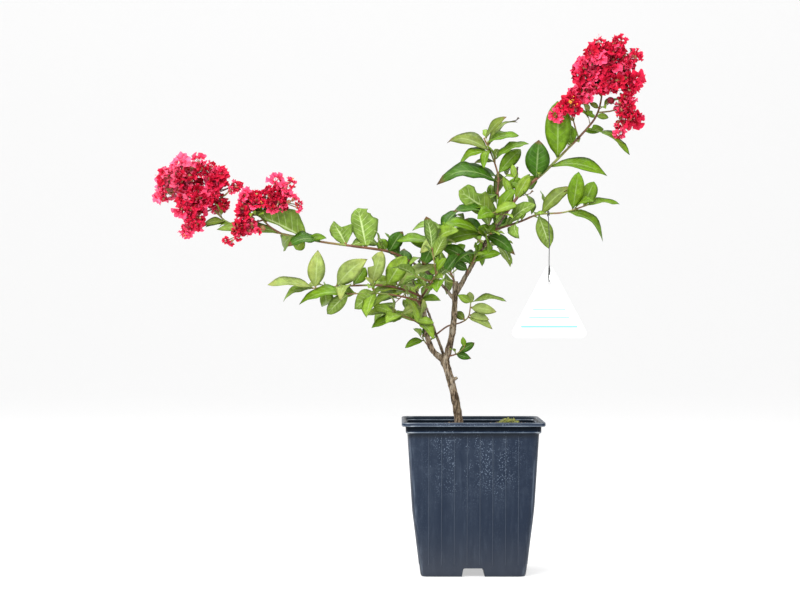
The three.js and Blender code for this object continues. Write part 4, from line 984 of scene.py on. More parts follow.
class Finish:
    """One material. Constant values are set on the shader's own sockets."""

    def __init__(self, name, colour, roughness, **constants):
        self.material = bpy.data.materials.new(name)
        self.material.use_nodes = True
        self.tree = self.material.node_tree
        self.shader = self.tree.nodes["Principled BSDF"]
        self.shader.inputs["Base Color"].default_value = (*colour[:3], 1.0)
        self.shader.inputs["Roughness"].default_value = roughness
        for words, value in constants.items():
            self.shader.inputs[SOCKETS[words]].default_value = value

    def node(self, kind, settings=None, inputs=None):
        """Adds a node: its settings are set first, then the values or links of its sockets."""
        made = self.tree.nodes.new("ShaderNode" + kind)
        for words, value in (settings or {}).items():
            setattr(made, words, value)
        for key, value in (inputs or {}).items():
            if isinstance(value, Val):
                self.tree.links.new(value.socket, made.inputs[key])
            else:
                made.inputs[key].default_value = value
        return made

    def maths(self, operation, first, second=0.0):
        return Val(self, self.node("Math", {"operation": operation}, {0: first, 1: second}).outputs[0])

    def away(self, value, level):
        """How far a value is from a level, either way."""
        return self.maths("ABSOLUTE", value - level)

    def object_place(self, scale=(1.0, 1.0, 1.0)):
        """The place on the piece in metres, stretched by a scale for each axis."""
        place = self.node("TexCoord").outputs["Object"]
        return Val(self, self.node("Mapping", None, {"Vector": Val(self, place), "Scale": scale}).outputs[0])

    def parts(self, place):
        """The three parts of a place."""
        return [Val(self, socket) for socket in self.node("SeparateXYZ", None, {0: place}).outputs[:3]]

    def own_uv(self):
        """How far across and how far along the surface's own coordinates run."""
        return self.parts(Val(self, self.node("TexCoord").outputs["UV"]))[:2]

    def cloud(self, place, scale, detail=3.0, roughness=0.55):
        """Soft noise from 0 to 1."""
        inputs = {"Vector": place, "Scale": scale, "Detail": detail, "Roughness": roughness}
        return Val(self, self.node("TexNoise", None, inputs).outputs[0])

    def cells(self, place, scale):
        """How far it is to the middle of the nearest cell."""
        return Val(self, self.node("TexVoronoi", None, {"Vector": place, "Scale": scale}).outputs["Distance"])

    def band(self, value, low, high):
        """0 below low, 1 above high and smooth between; the other way round where low is above high."""
        inputs = {"Value": value, "From Min": low, "From Max": high, "To Min": 0.0, "To Max": 1.0}
        return Val(self, self.node("MapRange", {"interpolation_type": "SMOOTHSTEP"}, inputs).outputs[0])

    def mix(self, share, first, second):
        """A colour between two colours."""
        first, second = (c if isinstance(c, Val) else (*c[:3], 1.0) for c in (first, second))
        made = self.node("Mix", {"data_type": "RGBA", "clamp_result": True}, {0: share, 6: first, 7: second})
        return Val(self, made.outputs[2])

    def paint(self, colour, roughness, height=None, depth=0.0002, strength=1.0):
        """Links what varies over the surface and gives back the material."""
        self.tree.links.new(colour.socket, self.shader.inputs["Base Color"])
        self.tree.links.new(roughness.socket, self.shader.inputs["Roughness"])
        if height is not None:
            bump = self.node("Bump", None, {"Strength": strength, "Distance": depth, "Height": height})
            self.tree.links.new(bump.outputs[0], self.shader.inputs["Normal"])
        return self.material


# ---- meshes ----
def add_piece(name, mesh, materials, nodes, smooth=True):
    """Makes the object of a finished mesh, which rides on the one body and stands for CAD nodes."""
    piece = bpy.data.objects.new(name, mesh)
    bpy.context.scene.collection.objects.link(piece)
    for material in materials:
        mesh.materials.append(material)
    if smooth:
        mesh.shade_smooth()
    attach(piece, "root")
    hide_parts(*nodes)
    return piece


def new_verts(made):
    """The corners that an operator has made."""
    return [item for item in made["geom"] if isinstance(item, bmesh.types.BMVert)]


def mesh_from(name, work, sharp=None):
    """A mesh from a bmesh, with its faces outward and its sharp edges marked."""
    bmesh.ops.remove_doubles(work, verts=work.verts, dist=1e-7)
    bmesh.ops.recalc_face_normals(work, faces=work.faces)
    mesh = bpy.data.meshes.new(name)
    work.to_mesh(mesh)
    work.free()
    if sharp is not None:
        mesh.set_sharp_from_angle(angle=math.radians(sharp))
    return mesh


class Pile:
    """Many small things gathered into one mesh, each face with its own finish and flat place."""

    def __init__(self):
        self.corners, self.faces, self.finishes, self.flat = [], [], [], []
        self.count = 0

    def add(self, corners, faces, finishes, flat=None):
        """`finishes` is one number for all the faces or one for each."""
        self.corners.append(np.asarray(corners, float))
        self.flat.append(np.zeros((len(corners), 2)) if flat is None else flat)
        self.faces += [[i + self.count for i in face] for face in faces]
        self.finishes += [finishes] * len(faces) if isinstance(finishes, int) else list(finishes)
        self.count += len(corners)

    def mesh(self, name):
        made = bpy.data.meshes.new(name)
        made.from_pydata(in_frame(np.concatenate(self.corners)).tolist(), [], self.faces)
        made.polygons.foreach_set("material_index", self.finishes)
        ends = np.empty(len(made.loops), np.int32)
        made.loops.foreach_get("vertex_index", ends)
        made.uv_layers.new(name="surface").data.foreach_set("uv", np.concatenate(self.flat)[ends].ravel())
        made.validate()
        return made


def sheet_template(across, stations, closed):
    """A flat sheet from -1 to 1 across and 0 to 1 along. A closed one has an underside that meets
    it at the rim, and `under` tells its corners; its first and last stations are drawn to a point."""
    work = bmesh.new()
    bmesh.ops.create_grid(work, x_segments=across, y_segments=stations, size=1)
    for vert in work.verts:
        vert.co.y = (vert.co.y + 1) / 2
        if closed and (vert.co.y < 1e-6 or vert.co.y > 1 - 1e-6):
            vert.co.x = 0
    if closed:
        bmesh.ops.remove_doubles(work, verts=work.verts, dist=1e-6)
        rim = {v for e in work.edges if e.is_boundary for v in e.verts}
        tops = list(work.faces)
        copied = bmesh.ops.duplicate(work, geom=[*work.verts, *work.edges, *work.faces])
        twin = {v: copied["vert_map"][v] for v in rim}
        under = [f for f in copied["geom"] if isinstance(f, bmesh.types.BMFace)]
        bmesh.ops.reverse_faces(work, faces=under)
        for vert in {v for f in under for v in f.verts} - set(twin.values()):
            vert.co.z = -1
        bmesh.ops.weld_verts(work, targetmap={twin[v]: v for v in rim})
        lower = [f for f in work.faces if any(v.co.z < -0.5 for v in f.verts)]
    else:
        tops, lower = list(work.faces), []
    work.verts.index_update()
    places = np.array([v.co for v in work.verts])
    faces = [[v.index for v in f.verts] for f in work.faces]
    below = {id(f) for f in lower}
    is_under = [id(f) in below for f in work.faces]
    upward = tops[len(tops) // 2].normal.z > 0
    work.free()
    if not upward:
        faces = [face[::-1] for face in faces]
    return {
        "across": places[:, 0],
        "along": places[:, 1],
        "under": places[:, 2] < -0.5,
        "faces": faces,
        "face_under": is_under,
    }


# ---- sizes and colours a user can change ----
def colour_property(name, description, default):
    return bpy.props.FloatVectorProperty(
        name=name, description=description, default=default, subtype="COLOR", size=3, min=0.0, max=1.0
    )


def length_property(name, description, default):
    return bpy.props.FloatProperty(
        name=name, description=description, default=default, unit="LENGTH", precision=4
    )


def number_property(name, description, default):
    return bpy.props.FloatProperty(name=name, description=description, default=default, min=0.0)


def count_property(name, description, default):
    return bpy.props.IntProperty(name=name, description=description, default=default, min=0)


class PotSettings(bpy.types.PropertyGroup):
    lip_height: length_property("Lip height", "Height of the square rim's outer band", 0.0046)
    collar_height: length_property("Collar height", "Height of the collar, lip included", 0.0115)
    collar_width: length_property("Collar width", "Width across the collar", 0.142)
    body_width: length_property("Body width", "Width across the top of the tapering body", 0.1378)
    waist_width: length_property("Waist width", "Width where the body starts to taper more", 0.128)
    waist_height: length_property("Waist height", "Height of the waist", 0.070)
    foot_width: length_property("Foot width", "Width across the underside", 0.1105)
    wall: length_property("Wall", "Thickness of the moulded wall", 0.0017)
    corner: length_property("Corner radius", "Radius of the upright corners at the rim", 0.009)
    rib_spacing: length_property("Rib spacing", "Distance between the fine upright ribs", 0.0134)
    ribs: count_property("Ribs", "Fine ribs on each side", 8)
    channel_width: length_property("Channel width", "Width of the cross channels under the pot", 0.027)
    channel_height: length_property("Channel height", "Height of the cross channels under the pot", 0.009)
    plastic: colour_property("Plastic", "Dark slate of the moulded plastic", (0.0046, 0.0112, 0.0262))
    dust: colour_property("Dust", "Dried dust and lime on the plastic", (0.15, 0.19, 0.25))


class SoilSettings(bpy.types.PropertyGroup):
    grit: count_property("Grit", "Loose grains on the soil", 700)
    earth: colour_property("Earth", "Moist potting mix", (0.045, 0.030, 0.019))
    grain: colour_property("Grain", "Dry bark and grit on the soil", (0.16, 0.11, 0.07))
    moss: colour_property("Moss", "Moss tuft by the back wall", (0.30, 0.33, 0.05))
    blades: count_property("Moss blades", "Small blades on the moss", 620)


class WoodSettings(bpy.types.PropertyGroup):
    voxel: length_property("Mesh size", "Size of the faces of the joined wood", 0.0006)
    relief: length_property("Bark relief", "Depth of the ridges in the bark", 0.00055)
    bark: colour_property("Bark", "Grey-brown ridges", (0.22, 0.165, 0.108))
    crevice: colour_property("Crevice", "Dark brown between the ridges", (0.030, 0.018, 0.009))
    cut: colour_property("Cut wood", "Weathered sawn ends", (0.38, 0.33, 0.26))


class LeafSettings(bpy.types.PropertyGroup):
    thickness: length_property("Thickness", "Thickness of a leaf at its middle", 0.0004)
    wave: number_property("Wave", "How wavy a leaf's edge is", 0.09)
    veins: count_property("Veins", "Side veins on each half of a leaf", 8)
    deep: colour_property("Deep green", "Old leaves in the shade of the crown", (0.032, 0.097, 0.003))
    mature: colour_property("Mature green", "Full-grown leaves", (0.098, 0.192, 0.006))
    fresh: colour_property("Fresh green", "Young leaves", (0.154, 0.252, 0.021))
    lime: colour_property("Lime green", "The youngest leaves", (0.203, 0.268, 0.064))
    olive: colour_property("Olive", "Leaves that are turning", (0.106, 0.152, 0.019))
    pale: colour_property("Pale green", "Undersides", (0.152, 0.226, 0.046))
    tip: colour_property("Dry tip", "Dry brown leaf tips", (0.10, 0.055, 0.02))
    young_wood: colour_property("Young wood", "Reddish brown of new shoots", (0.20, 0.09, 0.05))
    green_wood: colour_property("Green wood", "Soft shoot tips", (0.20, 0.26, 0.06))


class BlossomSettings(bpy.types.PropertyGroup):
    ruffle: number_property("Ruffle", "How crinkled a petal is", 0.17)
    petal_fan: number_property("Petal fan", "Half the angle that a petal spans, in degrees", 95.0)
    petal_tilt: number_property("Petal tilt", "The range in which petals tilt, in degrees", 110.0)
    stamens: count_property("Stamens", "Stamens in each flower", 6)
    # Rose and pink are lighter copies of crimson, as painted highlights, pink on the lit side of a head; dark
    # red is a darker copy, as painted shade.
    crimson: colour_property("Crimson", "Most petals", (0.64, 0.009, 0.052))
    rose: colour_property("Rose", "Lighter petals", (0.80, 0.068, 0.165))
    pink: colour_property("Pink", "Palest petals, at one side of a head", (0.84, 0.13, 0.24))
    dark: colour_property("Dark red", "Petals deep in the head", (0.34, 0.004, 0.012))
    pollen: colour_property("Pollen", "Short stamens", (0.75, 0.42, 0.05))
    calyx: colour_property("Calyx", "Green cups flushed with red", (0.30, 0.20, 0.08))
    stalk: colour_property("Stalk", "Reddish stalks", (0.30, 0.08, 0.06))


class LabelSettings(bpy.types.PropertyGroup):
    white: colour_property("White", "Smooth white plastic", (0.86, 0.88, 0.87))
    ink: colour_property("Ink", "Plain ruled lines", (0.12, 0.58, 0.56))
    wire: colour_property("Wire", "Thin dark wire", (0.03, 0.03, 0.03))


class StageSettings(bpy.types.PropertyGroup):
    camera_x: length_property("Camera X", "Camera to the side, from the pot's middle", -0.077)
    camera_y: length_property("Camera Y", "Camera distance, from the pot's middle", -2.55)
    camera_z: length_property("Camera height", "Camera above the pot's underside", 0.285)
    lens: number_property("Lens", "Focal length in millimetres", 106.94)
    key: number_property("Key light", "Power of the large soft light in watts", 150.0)
    fill: number_property("Fill light", "Power of the light from the right in watts", 30.0)
    world: number_property("Surround", "Strength of the even white light", 0.63)
    glow: number_property("Floor glow", "Strength of the backdrop's own light", 0.525)
    floor: colour_property("Floor", "Plain pale floor", (0.45, 0.45, 0.45))


SETTINGS = {
    "crape_pot": PotSettings,
    "crape_soil": SoilSettings,
    "crape_wood": WoodSettings,
    "crape_leaf": LeafSettings,
    "crape_blossom": BlossomSettings,
    "crape_label": LabelSettings,
    "crape_stage": StageSettings,
}


# ---- mesh tools for the larger pieces ----
def loop_edges(ring):
    """The edges between the corners of one open loop."""
    kept = set(ring)
    return [edge for edge in {e for vert in ring for e in vert.link_edges} if kept.issuperset(edge.verts)]


def sweep(work, points, radii, sides):
    """Extrudes a circle along a line of points, with its ends closed."""
    points = [Vector(point) for point in points]
    spans = zip(points[:1] + points[:-1], points[1:] + points[-1:])
    ahead = [(after - before).normalized() for before, after in spans]
    normal = ahead[0].orthogonal().normalized()
    ring = bmesh.ops.create_circle(work, cap_ends=True, segments=sides, radius=1.0)["verts"]
    last = Matrix.Identity(4)
    for i, (place, tangent) in enumerate(zip(points, ahead)):
        normal = (normal - tangent * normal.dot(tangent)).normalized()
        across = tangent.cross(normal)
        stand = Matrix((normal, across, tangent)).transposed().to_4x4()
        here = Matrix.Translation(place) @ stand @ Matrix.Diagonal((radii[i], radii[i], radii[i], 1.0))
        if i:
            ring = new_verts(bmesh.ops.extrude_edge_only(work, edges=loop_edges(ring)))
        bmesh.ops.transform(work, matrix=here @ last.inverted(), verts=ring)
        last = here
    bmesh.ops.contextual_create(work, geom=loop_edges(ring))


def applied(name, mesh, *modifiers):
    """The mesh after modifiers, each given as its type and settings."""
    carrier = bpy.data.objects.new(name, mesh)
    bpy.context.scene.collection.objects.link(carrier)
    for kind, settings in modifiers:
        made = carrier.modifiers.new(kind, kind)
        for words, value in settings.items():
            setattr(made, words, value)
    finished = bpy.data.meshes.new_from_object(carrier.evaluated_get(bpy.context.evaluated_depsgraph_get()))
    bpy.data.objects.remove(carrier)
    finished.name = name
    return finished


def cut_away(name, mesh, cutter_work):
    """The mesh with the cutter's solid taken out of it."""
    cutter = bpy.data.objects.new("cutter", mesh_from("cutter", cutter_work))
    bpy.context.scene.collection.objects.link(cutter)
    settings = {"operation": "DIFFERENCE", "solver": "EXACT", "use_self": True, "object": cutter}
    finished = applied(name, mesh, ("BOOLEAN", settings))
    bpy.data.objects.remove(cutter)
    finished.shade_smooth()
    finished.set_sharp_from_angle(angle=math.radians(40))
    return applied(name, finished, ("WEIGHTED_NORMAL", {"weight": 90, "keep_sharp": True}))


def square_ring(work, half, corner, segments):
    """A rounded square loop round the origin."""
    ring = bmesh.ops.create_circle(work, cap_ends=False, segments=4, radius=half * math.sqrt(2))["verts"]
    bmesh.ops.rotate(work, verts=ring, matrix=Matrix.Rotation(math.radians(45), 3, "Z"))
    bmesh.ops.bevel(
        work,
        geom=ring,
        offset=corner,
        offset_type="OFFSET",
        affect="VERTICES",
        segments=segments,
        profile=0.5,
        material=-1,
    )
    return list(work.verts)


def square_profile(work, profile, corner, segments=8, close=(True, True)):
    """Extrudes a rounded square through a profile of half widths and heights, in millimetres."""
    half, height = profile[0]
    ring = square_ring(work, half, corner * half / RIM_HALF, segments)
    bmesh.ops.translate(work, verts=ring, vec=(0, 0, height))
    if close[0]:
        bmesh.ops.contextual_create(work, geom=loop_edges(ring))
    for wider, higher in profile[1:]:
        ring = new_verts(bmesh.ops.extrude_edge_only(work, edges=loop_edges(ring)))
        bmesh.ops.translate(work, verts=ring, vec=(0, 0, higher - height))
        bmesh.ops.scale(work, verts=ring, vec=(wider / half, wider / half, 1))
        half, height = wider, higher
    if close[1]:
        bmesh.ops.contextual_create(work, geom=loop_edges(ring))


def place_in_frame(work):
    """Turns millimetres from the pot's middle into metres in the part's frame."""
    bmesh.ops.scale(work, verts=work.verts, vec=(MM, MM, MM))
    bmesh.ops.translate(work, verts=work.verts, vec=Vector(POT_MIDDLE))


# ---- pot, soil and moss ----
CHANNEL_SLOPE = 3  # how much narrower than its foot a channel's top is, on each side
CHANNEL_ROUNDING = 1.5
RIB_FOOT = 12.5  # above the underside
RIB_PROUD, RIB_SUNK = 0.4, 0.6  # out of the wall and into it
RIB_HALF = 0.5
SOIL_CELLS = 110  # faces across the soil
HEAP_HIGH, HEAP_WIDE = 2.2, 16  # the earth heaped round the trunk
CRUMBS_ABOVE = 2.4  # how far the soil may rise over its solid's top


def pot_sizes(sizes):
    """The collar's top and foot and the half widths of collar and body, in millimetres."""
    collar_top = POT_HEIGHT - sizes.lip_height / MM
    collar_foot = POT_HEIGHT - sizes.collar_height / MM
    return collar_top, collar_foot, sizes.collar_width / MM / 2, sizes.body_width / MM / 2


def wall_half(sizes, height):
    """Half the body's width at a height. The wall stands steeper above the waist."""
    _, collar_foot, _, body = pot_sizes(sizes)
    heights = (0, sizes.waist_height / MM, collar_foot - 1)
    return float(np.interp(height, heights, (sizes.foot_width / MM / 2, sizes.waist_width / MM / 2, body)))


def pot_mesh(sizes):
    """The moulded shell, from its underside up the outside, over the rim and down to its floor."""
    collar_top, collar_foot, collar, body = pot_sizes(sizes)
    wall, waist = sizes.wall / MM, sizes.waist_height / MM
    profile = [
        (wall_half(sizes, 0) - 2.2, 0),
        (wall_half(sizes, 0) - 0.8, 0.5),
        (wall_half(sizes, 2.6) - 0.1, 2.6),
        (wall_half(sizes, 6), 6),
        (wall_half(sizes, waist - 9), waist - 9),
        (wall_half(sizes, waist) - 0.15, waist),
        (wall_half(sizes, waist + 9), waist + 9),
        (body - 0.1, collar_foot - 1.4),
        (body + 0.4, collar_foot - 0.6),
        (collar - 0.4, collar_foot),
        (collar, collar_foot + 0.7),
        (collar, collar_top - 0.9),
        (collar - 0.5, collar_top - 0.5),
        (collar + 0.2, collar_top - 0.1),
        (RIM_HALF - 0.6, collar_top + 0.1),
        (RIM_HALF, collar_top + 0.8),
        (RIM_HALF, POT_HEIGHT - 1.2),
        (RIM_HALF - 0.35, POT_HEIGHT - 0.35),
        (RIM_HALF - 1.2, POT_HEIGHT),
        (RIM_HALF - 2.4, POT_HEIGHT - 0.1),
        (RIM_HALF - 3.2, POT_HEIGHT - 0.6),
        (collar - wall + 0.6, POT_HEIGHT - 3.0),
        (collar - wall, POT_HEIGHT - 4.2),
        (collar - wall, collar_foot + 1),
        (wall_half(sizes, collar_foot) - wall, collar_foot - 1),
        (wall_half(sizes, waist) - wall, waist),
        (wall_half(sizes, POT_FLOOR) - wall, POT_FLOOR),
    ]
    work = bmesh.new()
    square_profile(work, profile, sizes.corner / MM)
    place_in_frame(work)
    return cut_away("pot", mesh_from("pot", work), channel_work(sizes))


def channel_work(sizes):
    """Two crossed bars, narrower at their tops, which leave the pot four feet."""
    channels = bmesh.new()
    half, high = sizes.channel_width / MM / 2, sizes.channel_height / MM
    for turn in (0, 90):
        block = bmesh.ops.create_cube(channels, size=2)["verts"]
        bmesh.ops.scale(channels, verts=block, vec=(half, RIM_HALF, high))
        for vert in block:
            if vert.co.z > 0:
                vert.co.x *= 1 - CHANNEL_SLOPE / half
        bmesh.ops.rotate(channels, verts=block, matrix=Matrix.Rotation(math.radians(turn), 3, "Z"))
    top = [edge for edge in channels.edges if all(vert.co.z > 0 for vert in edge.verts)]
    bmesh.ops.bevel(
        channels, geom=top, offset=CHANNEL_ROUNDING, affect="EDGES", segments=3, profile=0.5, material=-1
    )
    place_in_frame(channels)
    return channels


def rib_work(sizes):
    """The fine upright ribs on the four sides of the body, which bend at its waist."""
    heights = {-1: RIB_FOOT, 0: sizes.waist_height / MM, 1: pot_sizes(sizes)[1] - 2.5}
    rib = bmesh.new()
    bmesh.ops.create_cube(rib, size=2)
    upright = [edge for edge in rib.edges if edge.verts[0].co.z * edge.verts[1].co.z < 0]
    bmesh.ops.subdivide_edges(rib, edges=upright, cuts=1)
    for vert in rib.verts:
        height = heights[round(vert.co.z)]
        proud = RIB_PROUD if vert.co.y < 0 else -RIB_SUNK
        vert.co = Vector((vert.co.x * RIB_HALF, -wall_half(sizes, height) - proud, height))
    outer = [edge for edge in rib.edges if edge.calc_length() > 20]
    bmesh.ops.bevel(rib, geom=outer, offset=0.3, affect="EDGES", segments=2, profile=0.5, material=-1)
    one = mesh_from("rib", rib)
    work = bmesh.new()
    for order in range(4 * sizes.ribs):
        side, place = divmod(order, sizes.ribs)
        work.from_mesh(one)
        work.verts.ensure_lookup_table()
        made = work.verts[-len(one.vertices):]
        aside = (place - (sizes.ribs - 1) / 2) * sizes.rib_spacing / MM
        bmesh.ops.translate(work, verts=made, vec=(aside, 0, 0))
        bmesh.ops.rotate(work, verts=made, matrix=Matrix.Rotation(math.radians(90 * side), 3, "Z"))
    bpy.data.meshes.remove(one)
    place_in_frame(work)
    return work


def soil_mesh(pot):
    """Crumbly earth heaped a little round the trunk, down to the pot's floor."""
    half = wall_half(pot, SOIL_TOP) - pot.wall / MM - 0.3
    bottom_half = wall_half(pot, POT_FLOOR) - pot.wall / MM - 0.4
    corner = pot.corner / MM * half / RIM_HALF
    work = bmesh.new()
    bmesh.ops.create_grid(work, x_segments=SOIL_CELLS, y_segments=SOIL_CELLS, size=half)
    flat = half - corner
    for vert in work.verts:
        x, y = vert.co.x, vert.co.y
        over_x, over_y = max(abs(x) - flat, 0) / corner, max(abs(y) - flat, 0) / corner
        if over_x and over_y:
            shrink = max(over_x, over_y) / math.hypot(over_x, over_y)
            x = math.copysign(flat + over_x * corner * shrink, x)
            y = math.copysign(flat + over_y * corner * shrink, y)
        trunk = Vector((x - TRUNK_FOOT[0], y - TRUNK_FOOT[1])).length
        rough = noise.fractal(Vector((x, y, 3)) * 0.16, 0.8, 2.1, 5) * 1.3
        rough += noise.noise(Vector((x, y, 9)) * 0.045) * 1.6
        edge = max(abs(x), abs(y)) / half
        height = SOIL_TOP - 1.0 + rough + HEAP_HIGH * math.exp(-((trunk / HEAP_WIDE) ** 2))
        height -= 2.0 * max(edge - 0.9, 0) * 10
        vert.co = Vector((x, y, min(height, SOIL_TOP + CRUMBS_ABOVE)))
    rim = [edge for edge in work.edges if edge.is_boundary]
    skirt = new_verts(bmesh.ops.extrude_edge_only(work, edges=rim))
    for vert in skirt:
        vert.co = Vector((vert.co.x * bottom_half / half, vert.co.y * bottom_half / half, POT_FLOOR + 0.3))
    bmesh.ops.contextual_create(work, geom=loop_edges(skirt))
    place_in_frame(work)
    return mesh_from("soil", work)


def grain_pile(sizes, pot):
    """Loose crumbs of bark and grit, half sunk in the soil."""
    draw = seeded_draws(SEED["crumbs"])
    pile = Pile()
    seed = bmesh.new()
    bmesh.ops.create_icosphere(seed, subdivisions=1, radius=1)
    corners = np.array([vert.co for vert in seed.verts])
    faces = [[vert.index for vert in face.verts] for face in seed.faces]
    seed.free()
    half = wall_half(pot, SOIL_TOP) - 5
    for _ in range(sizes.grit):
        middle = np.array([(2 * draw() - 1) * half, (2 * draw() - 1) * half, SOIL_TOP - 0.6 + 1.2 * draw()])
        size = 0.7 + 2.6 * draw() ** 3
        stretch = np.array([1 + 1.4 * draw(), 0.7 + 0.5 * draw(), 0.45 + 0.3 * draw()])
        turn = np.array(Matrix.Rotation(math.pi * draw(), 3, "Z"))
        lumps = 0.75 + 0.5 * np.array([draw() for _ in corners])
        pile.add(middle + (corners * lumps[:, None] * stretch * size) @ turn.T, faces, int(draw() < 0.35))
    return pile


def moss_pile(sizes):
    """A low mound with many small upright blades."""
    low, high = MOSS_LOW, MOSS_HIGH
    middle, half = (low + high) / 2, (high - low) / 2
    draw = seeded_draws(SEED["moss"])
    mound = bmesh.new()
    bmesh.ops.create_icosphere(mound, subdivisions=4, radius=1)
    corners = []
    for vert in mound.verts:
        lump = 0.92 + 0.34 * noise.fractal(vert.co * 2.6, 0.9, 2.0, 4)
        corners.append([vert.co.x * lump, vert.co.y * lump, max(vert.co.z, -0.15) * lump])
    faces = [[vert.index for vert in face.verts] for face in mound.faces]
    mound.free()
    scale = np.array([half[0], half[1], half[2] * 1.35]) * 0.9
    pile = Pile()
    foot = np.array([middle[0], middle[1], low[2] - 0.4])
    pile.add(foot + np.array(corners) * scale, faces, 0)
    for _ in range(sizes.blades):
        around, up = 2 * math.pi * draw(), draw()
        out = math.sqrt(1 - up * up)
        normal = np.array([math.cos(around) * out, math.sin(around) * out, up])
        start = foot + normal * scale * 0.96
        lean = unit(normal + np.array([draw() - 0.5, draw() - 0.5, 0.4 + draw()]))
        clump = noise.noise(Vector(normal) * 2.4 + Vector((3.1, 0.4, 1.7)))
        reach = 1.0 + 2.2 * draw() + 5.0 * max(clump, 0)
        pile.add(*rings([start, start + lean * reach * 0.5, start + lean * reach], (0.28, 0.34, 0.05), 3), 1)
    return pile


# ---- wood ----
LIMB_SIDES = 14
LIMB_STEP = 2


def limb_radii(limb, shares, draw):
    """The taper of a limb with its flare and slight swellings."""
    widths = tapered(limb["radii"], shares)
    widths = widths + limb.get("flare", 0) * np.exp(-9 * shares)
    for _ in range(max(int(len(shares) / 8), 1)):
        at, swell = draw(), 0.05 + 0.08 * draw()
        widths = widths * (1 + swell * np.exp(-(((shares - at) / 0.045) ** 2)))
    return widths


def wood_mesh(sizes, growth):
    """All woody limbs as one skin, with ridges that run along them."""
    draw = seeded_draws(SEED["bark"])
    whole = bmesh.new()
    for name, limb in LIMBS.items():
        route = growth.routes[name]
        steps = max(int(route.lengths[-1] / LIMB_STEP), 6)
        shares = np.linspace(0, 1, steps + 1)
        parts = [(route, shares, limb_radii(limb, shares, draw))]
        for stub in limb.get("stubs", []):
            stub_route, stub_shares = Route(stub["route"]), np.linspace(0, 1, 7)
            parts.append((stub_route, stub_shares, limb_radii(stub, stub_shares, draw)))
        for part_route, part_shares, radii in parts:
            work = bmesh.new()
            sweep(work, [part_route.point(share) for share in part_shares], radii, LIMB_SIDES)
            place_in_frame(work)
            part = mesh_from(name, work)
            whole.from_mesh(part)
            bpy.data.meshes.remove(part)
    for *place, radius in KNOTS:
        knot = bmesh.ops.create_icosphere(whole, subdivisions=2, radius=radius * MM)["verts"]
        bmesh.ops.translate(whole, verts=knot, vec=Vector(in_frame(place)))
    joined = bpy.data.meshes.new("wood")
    whole.to_mesh(joined)
    whole.free()
    skin = applied(
        "wood",
        joined,
        ("REMESH", {"mode": "VOXEL", "voxel_size": sizes.voxel}),
        ("SMOOTH", {"factor": 0.5, "iterations": 5}),
    )
    normals = [normal.vector.copy() for normal in skin.vertex_normals]
    for vert, normal in zip(skin.vertices, normals):
        place = vert.co / MM
        long = Vector((place.x, place.y, place.z * 0.16))
        ridges = noise.fractal(long * 0.75, 0.9, 2.0, 4)
        flakes = noise.noise(Vector((place.x, place.y, place.z * 0.5)) * 0.35)
        vert.co += normal * sizes.relief * (0.7 * ridges + 0.5 * flakes)
    return skin


# ---- label and its wire ----
CORNER_REACH = 1.35  # how far a corner's rounding starts from it, for a radius of 1
STRAND_TURNS, KNOT_TURNS, KNOT_RADIUS = 4.5, 2.2, 2.1


def label_mesh():
    """A thin plate, a triangle with round corners and a round hole under its top."""
    wide, thick, tall = LABEL_HIGH - LABEL_LOW
    middle = (LABEL_LOW[0] + LABEL_HIGH[0]) / 2
    work = bmesh.new()
    ring = bmesh.ops.create_circle(work, cap_ends=True, segments=3, radius=1)["verts"]
    ring.sort(key=lambda vert: -vert.co.y)
    corners = ((0, 0), (LABEL_BASE / 2, -LABEL_HEIGHT), (-LABEL_BASE / 2, -LABEL_HEIGHT))
    for vert, (x, z) in zip(ring, corners):
        vert.co = Vector((x, 0, z))
    bmesh.ops.bevel(
        work,
        geom=ring,
        offset=LABEL_CORNER * CORNER_REACH,
        offset_type="OFFSET",
        affect="VERTICES",
        segments=12,
        profile=0.5,
        material=-1,
    )
    moved = new_verts(bmesh.ops.extrude_face_region(work, geom=list(work.faces)))
    bmesh.ops.translate(work, verts=moved, vec=(0, thick, 0))
    bmesh.ops.recalc_face_normals(work, faces=work.faces)
    heights, widest = [v.co.z for v in work.verts], max(v.co.x for v in work.verts)
    grow = (wide / 2 / widest, 1, tall / (max(heights) - min(heights)))
    bmesh.ops.translate(work, verts=work.verts, vec=(0, 0, -max(heights)))
    bmesh.ops.scale(work, verts=work.verts, vec=grow)
    bmesh.ops.translate(work, verts=work.verts, vec=(middle, LABEL_LOW[1], LABEL_HIGH[2]))
    rim = [edge for edge in work.edges if abs(edge.verts[0].co.y - edge.verts[1].co.y) < 1e-4]
    bmesh.ops.bevel(work, geom=rim, offset=0.22, affect="EDGES", segments=2, profile=0.5, material=-1)
    hole = bmesh.new()
    centre = (middle, (LABEL_LOW[1] + LABEL_HIGH[1]) / 2, LABEL_APEX - LABEL_HOLE_DROP)
    bmesh.ops.create_cone(
        hole,
        cap_ends=True,
        segments=28,
        radius1=LABEL_HOLE,
        radius2=LABEL_HOLE,
        depth=12,
        matrix=Matrix.Translation(centre) @ Matrix.Rotation(math.radians(90), 4, "X"),
    )
    place_in_frame(work)
    place_in_frame(hole)
    return cut_away("label", mesh_from("label", work), hole)


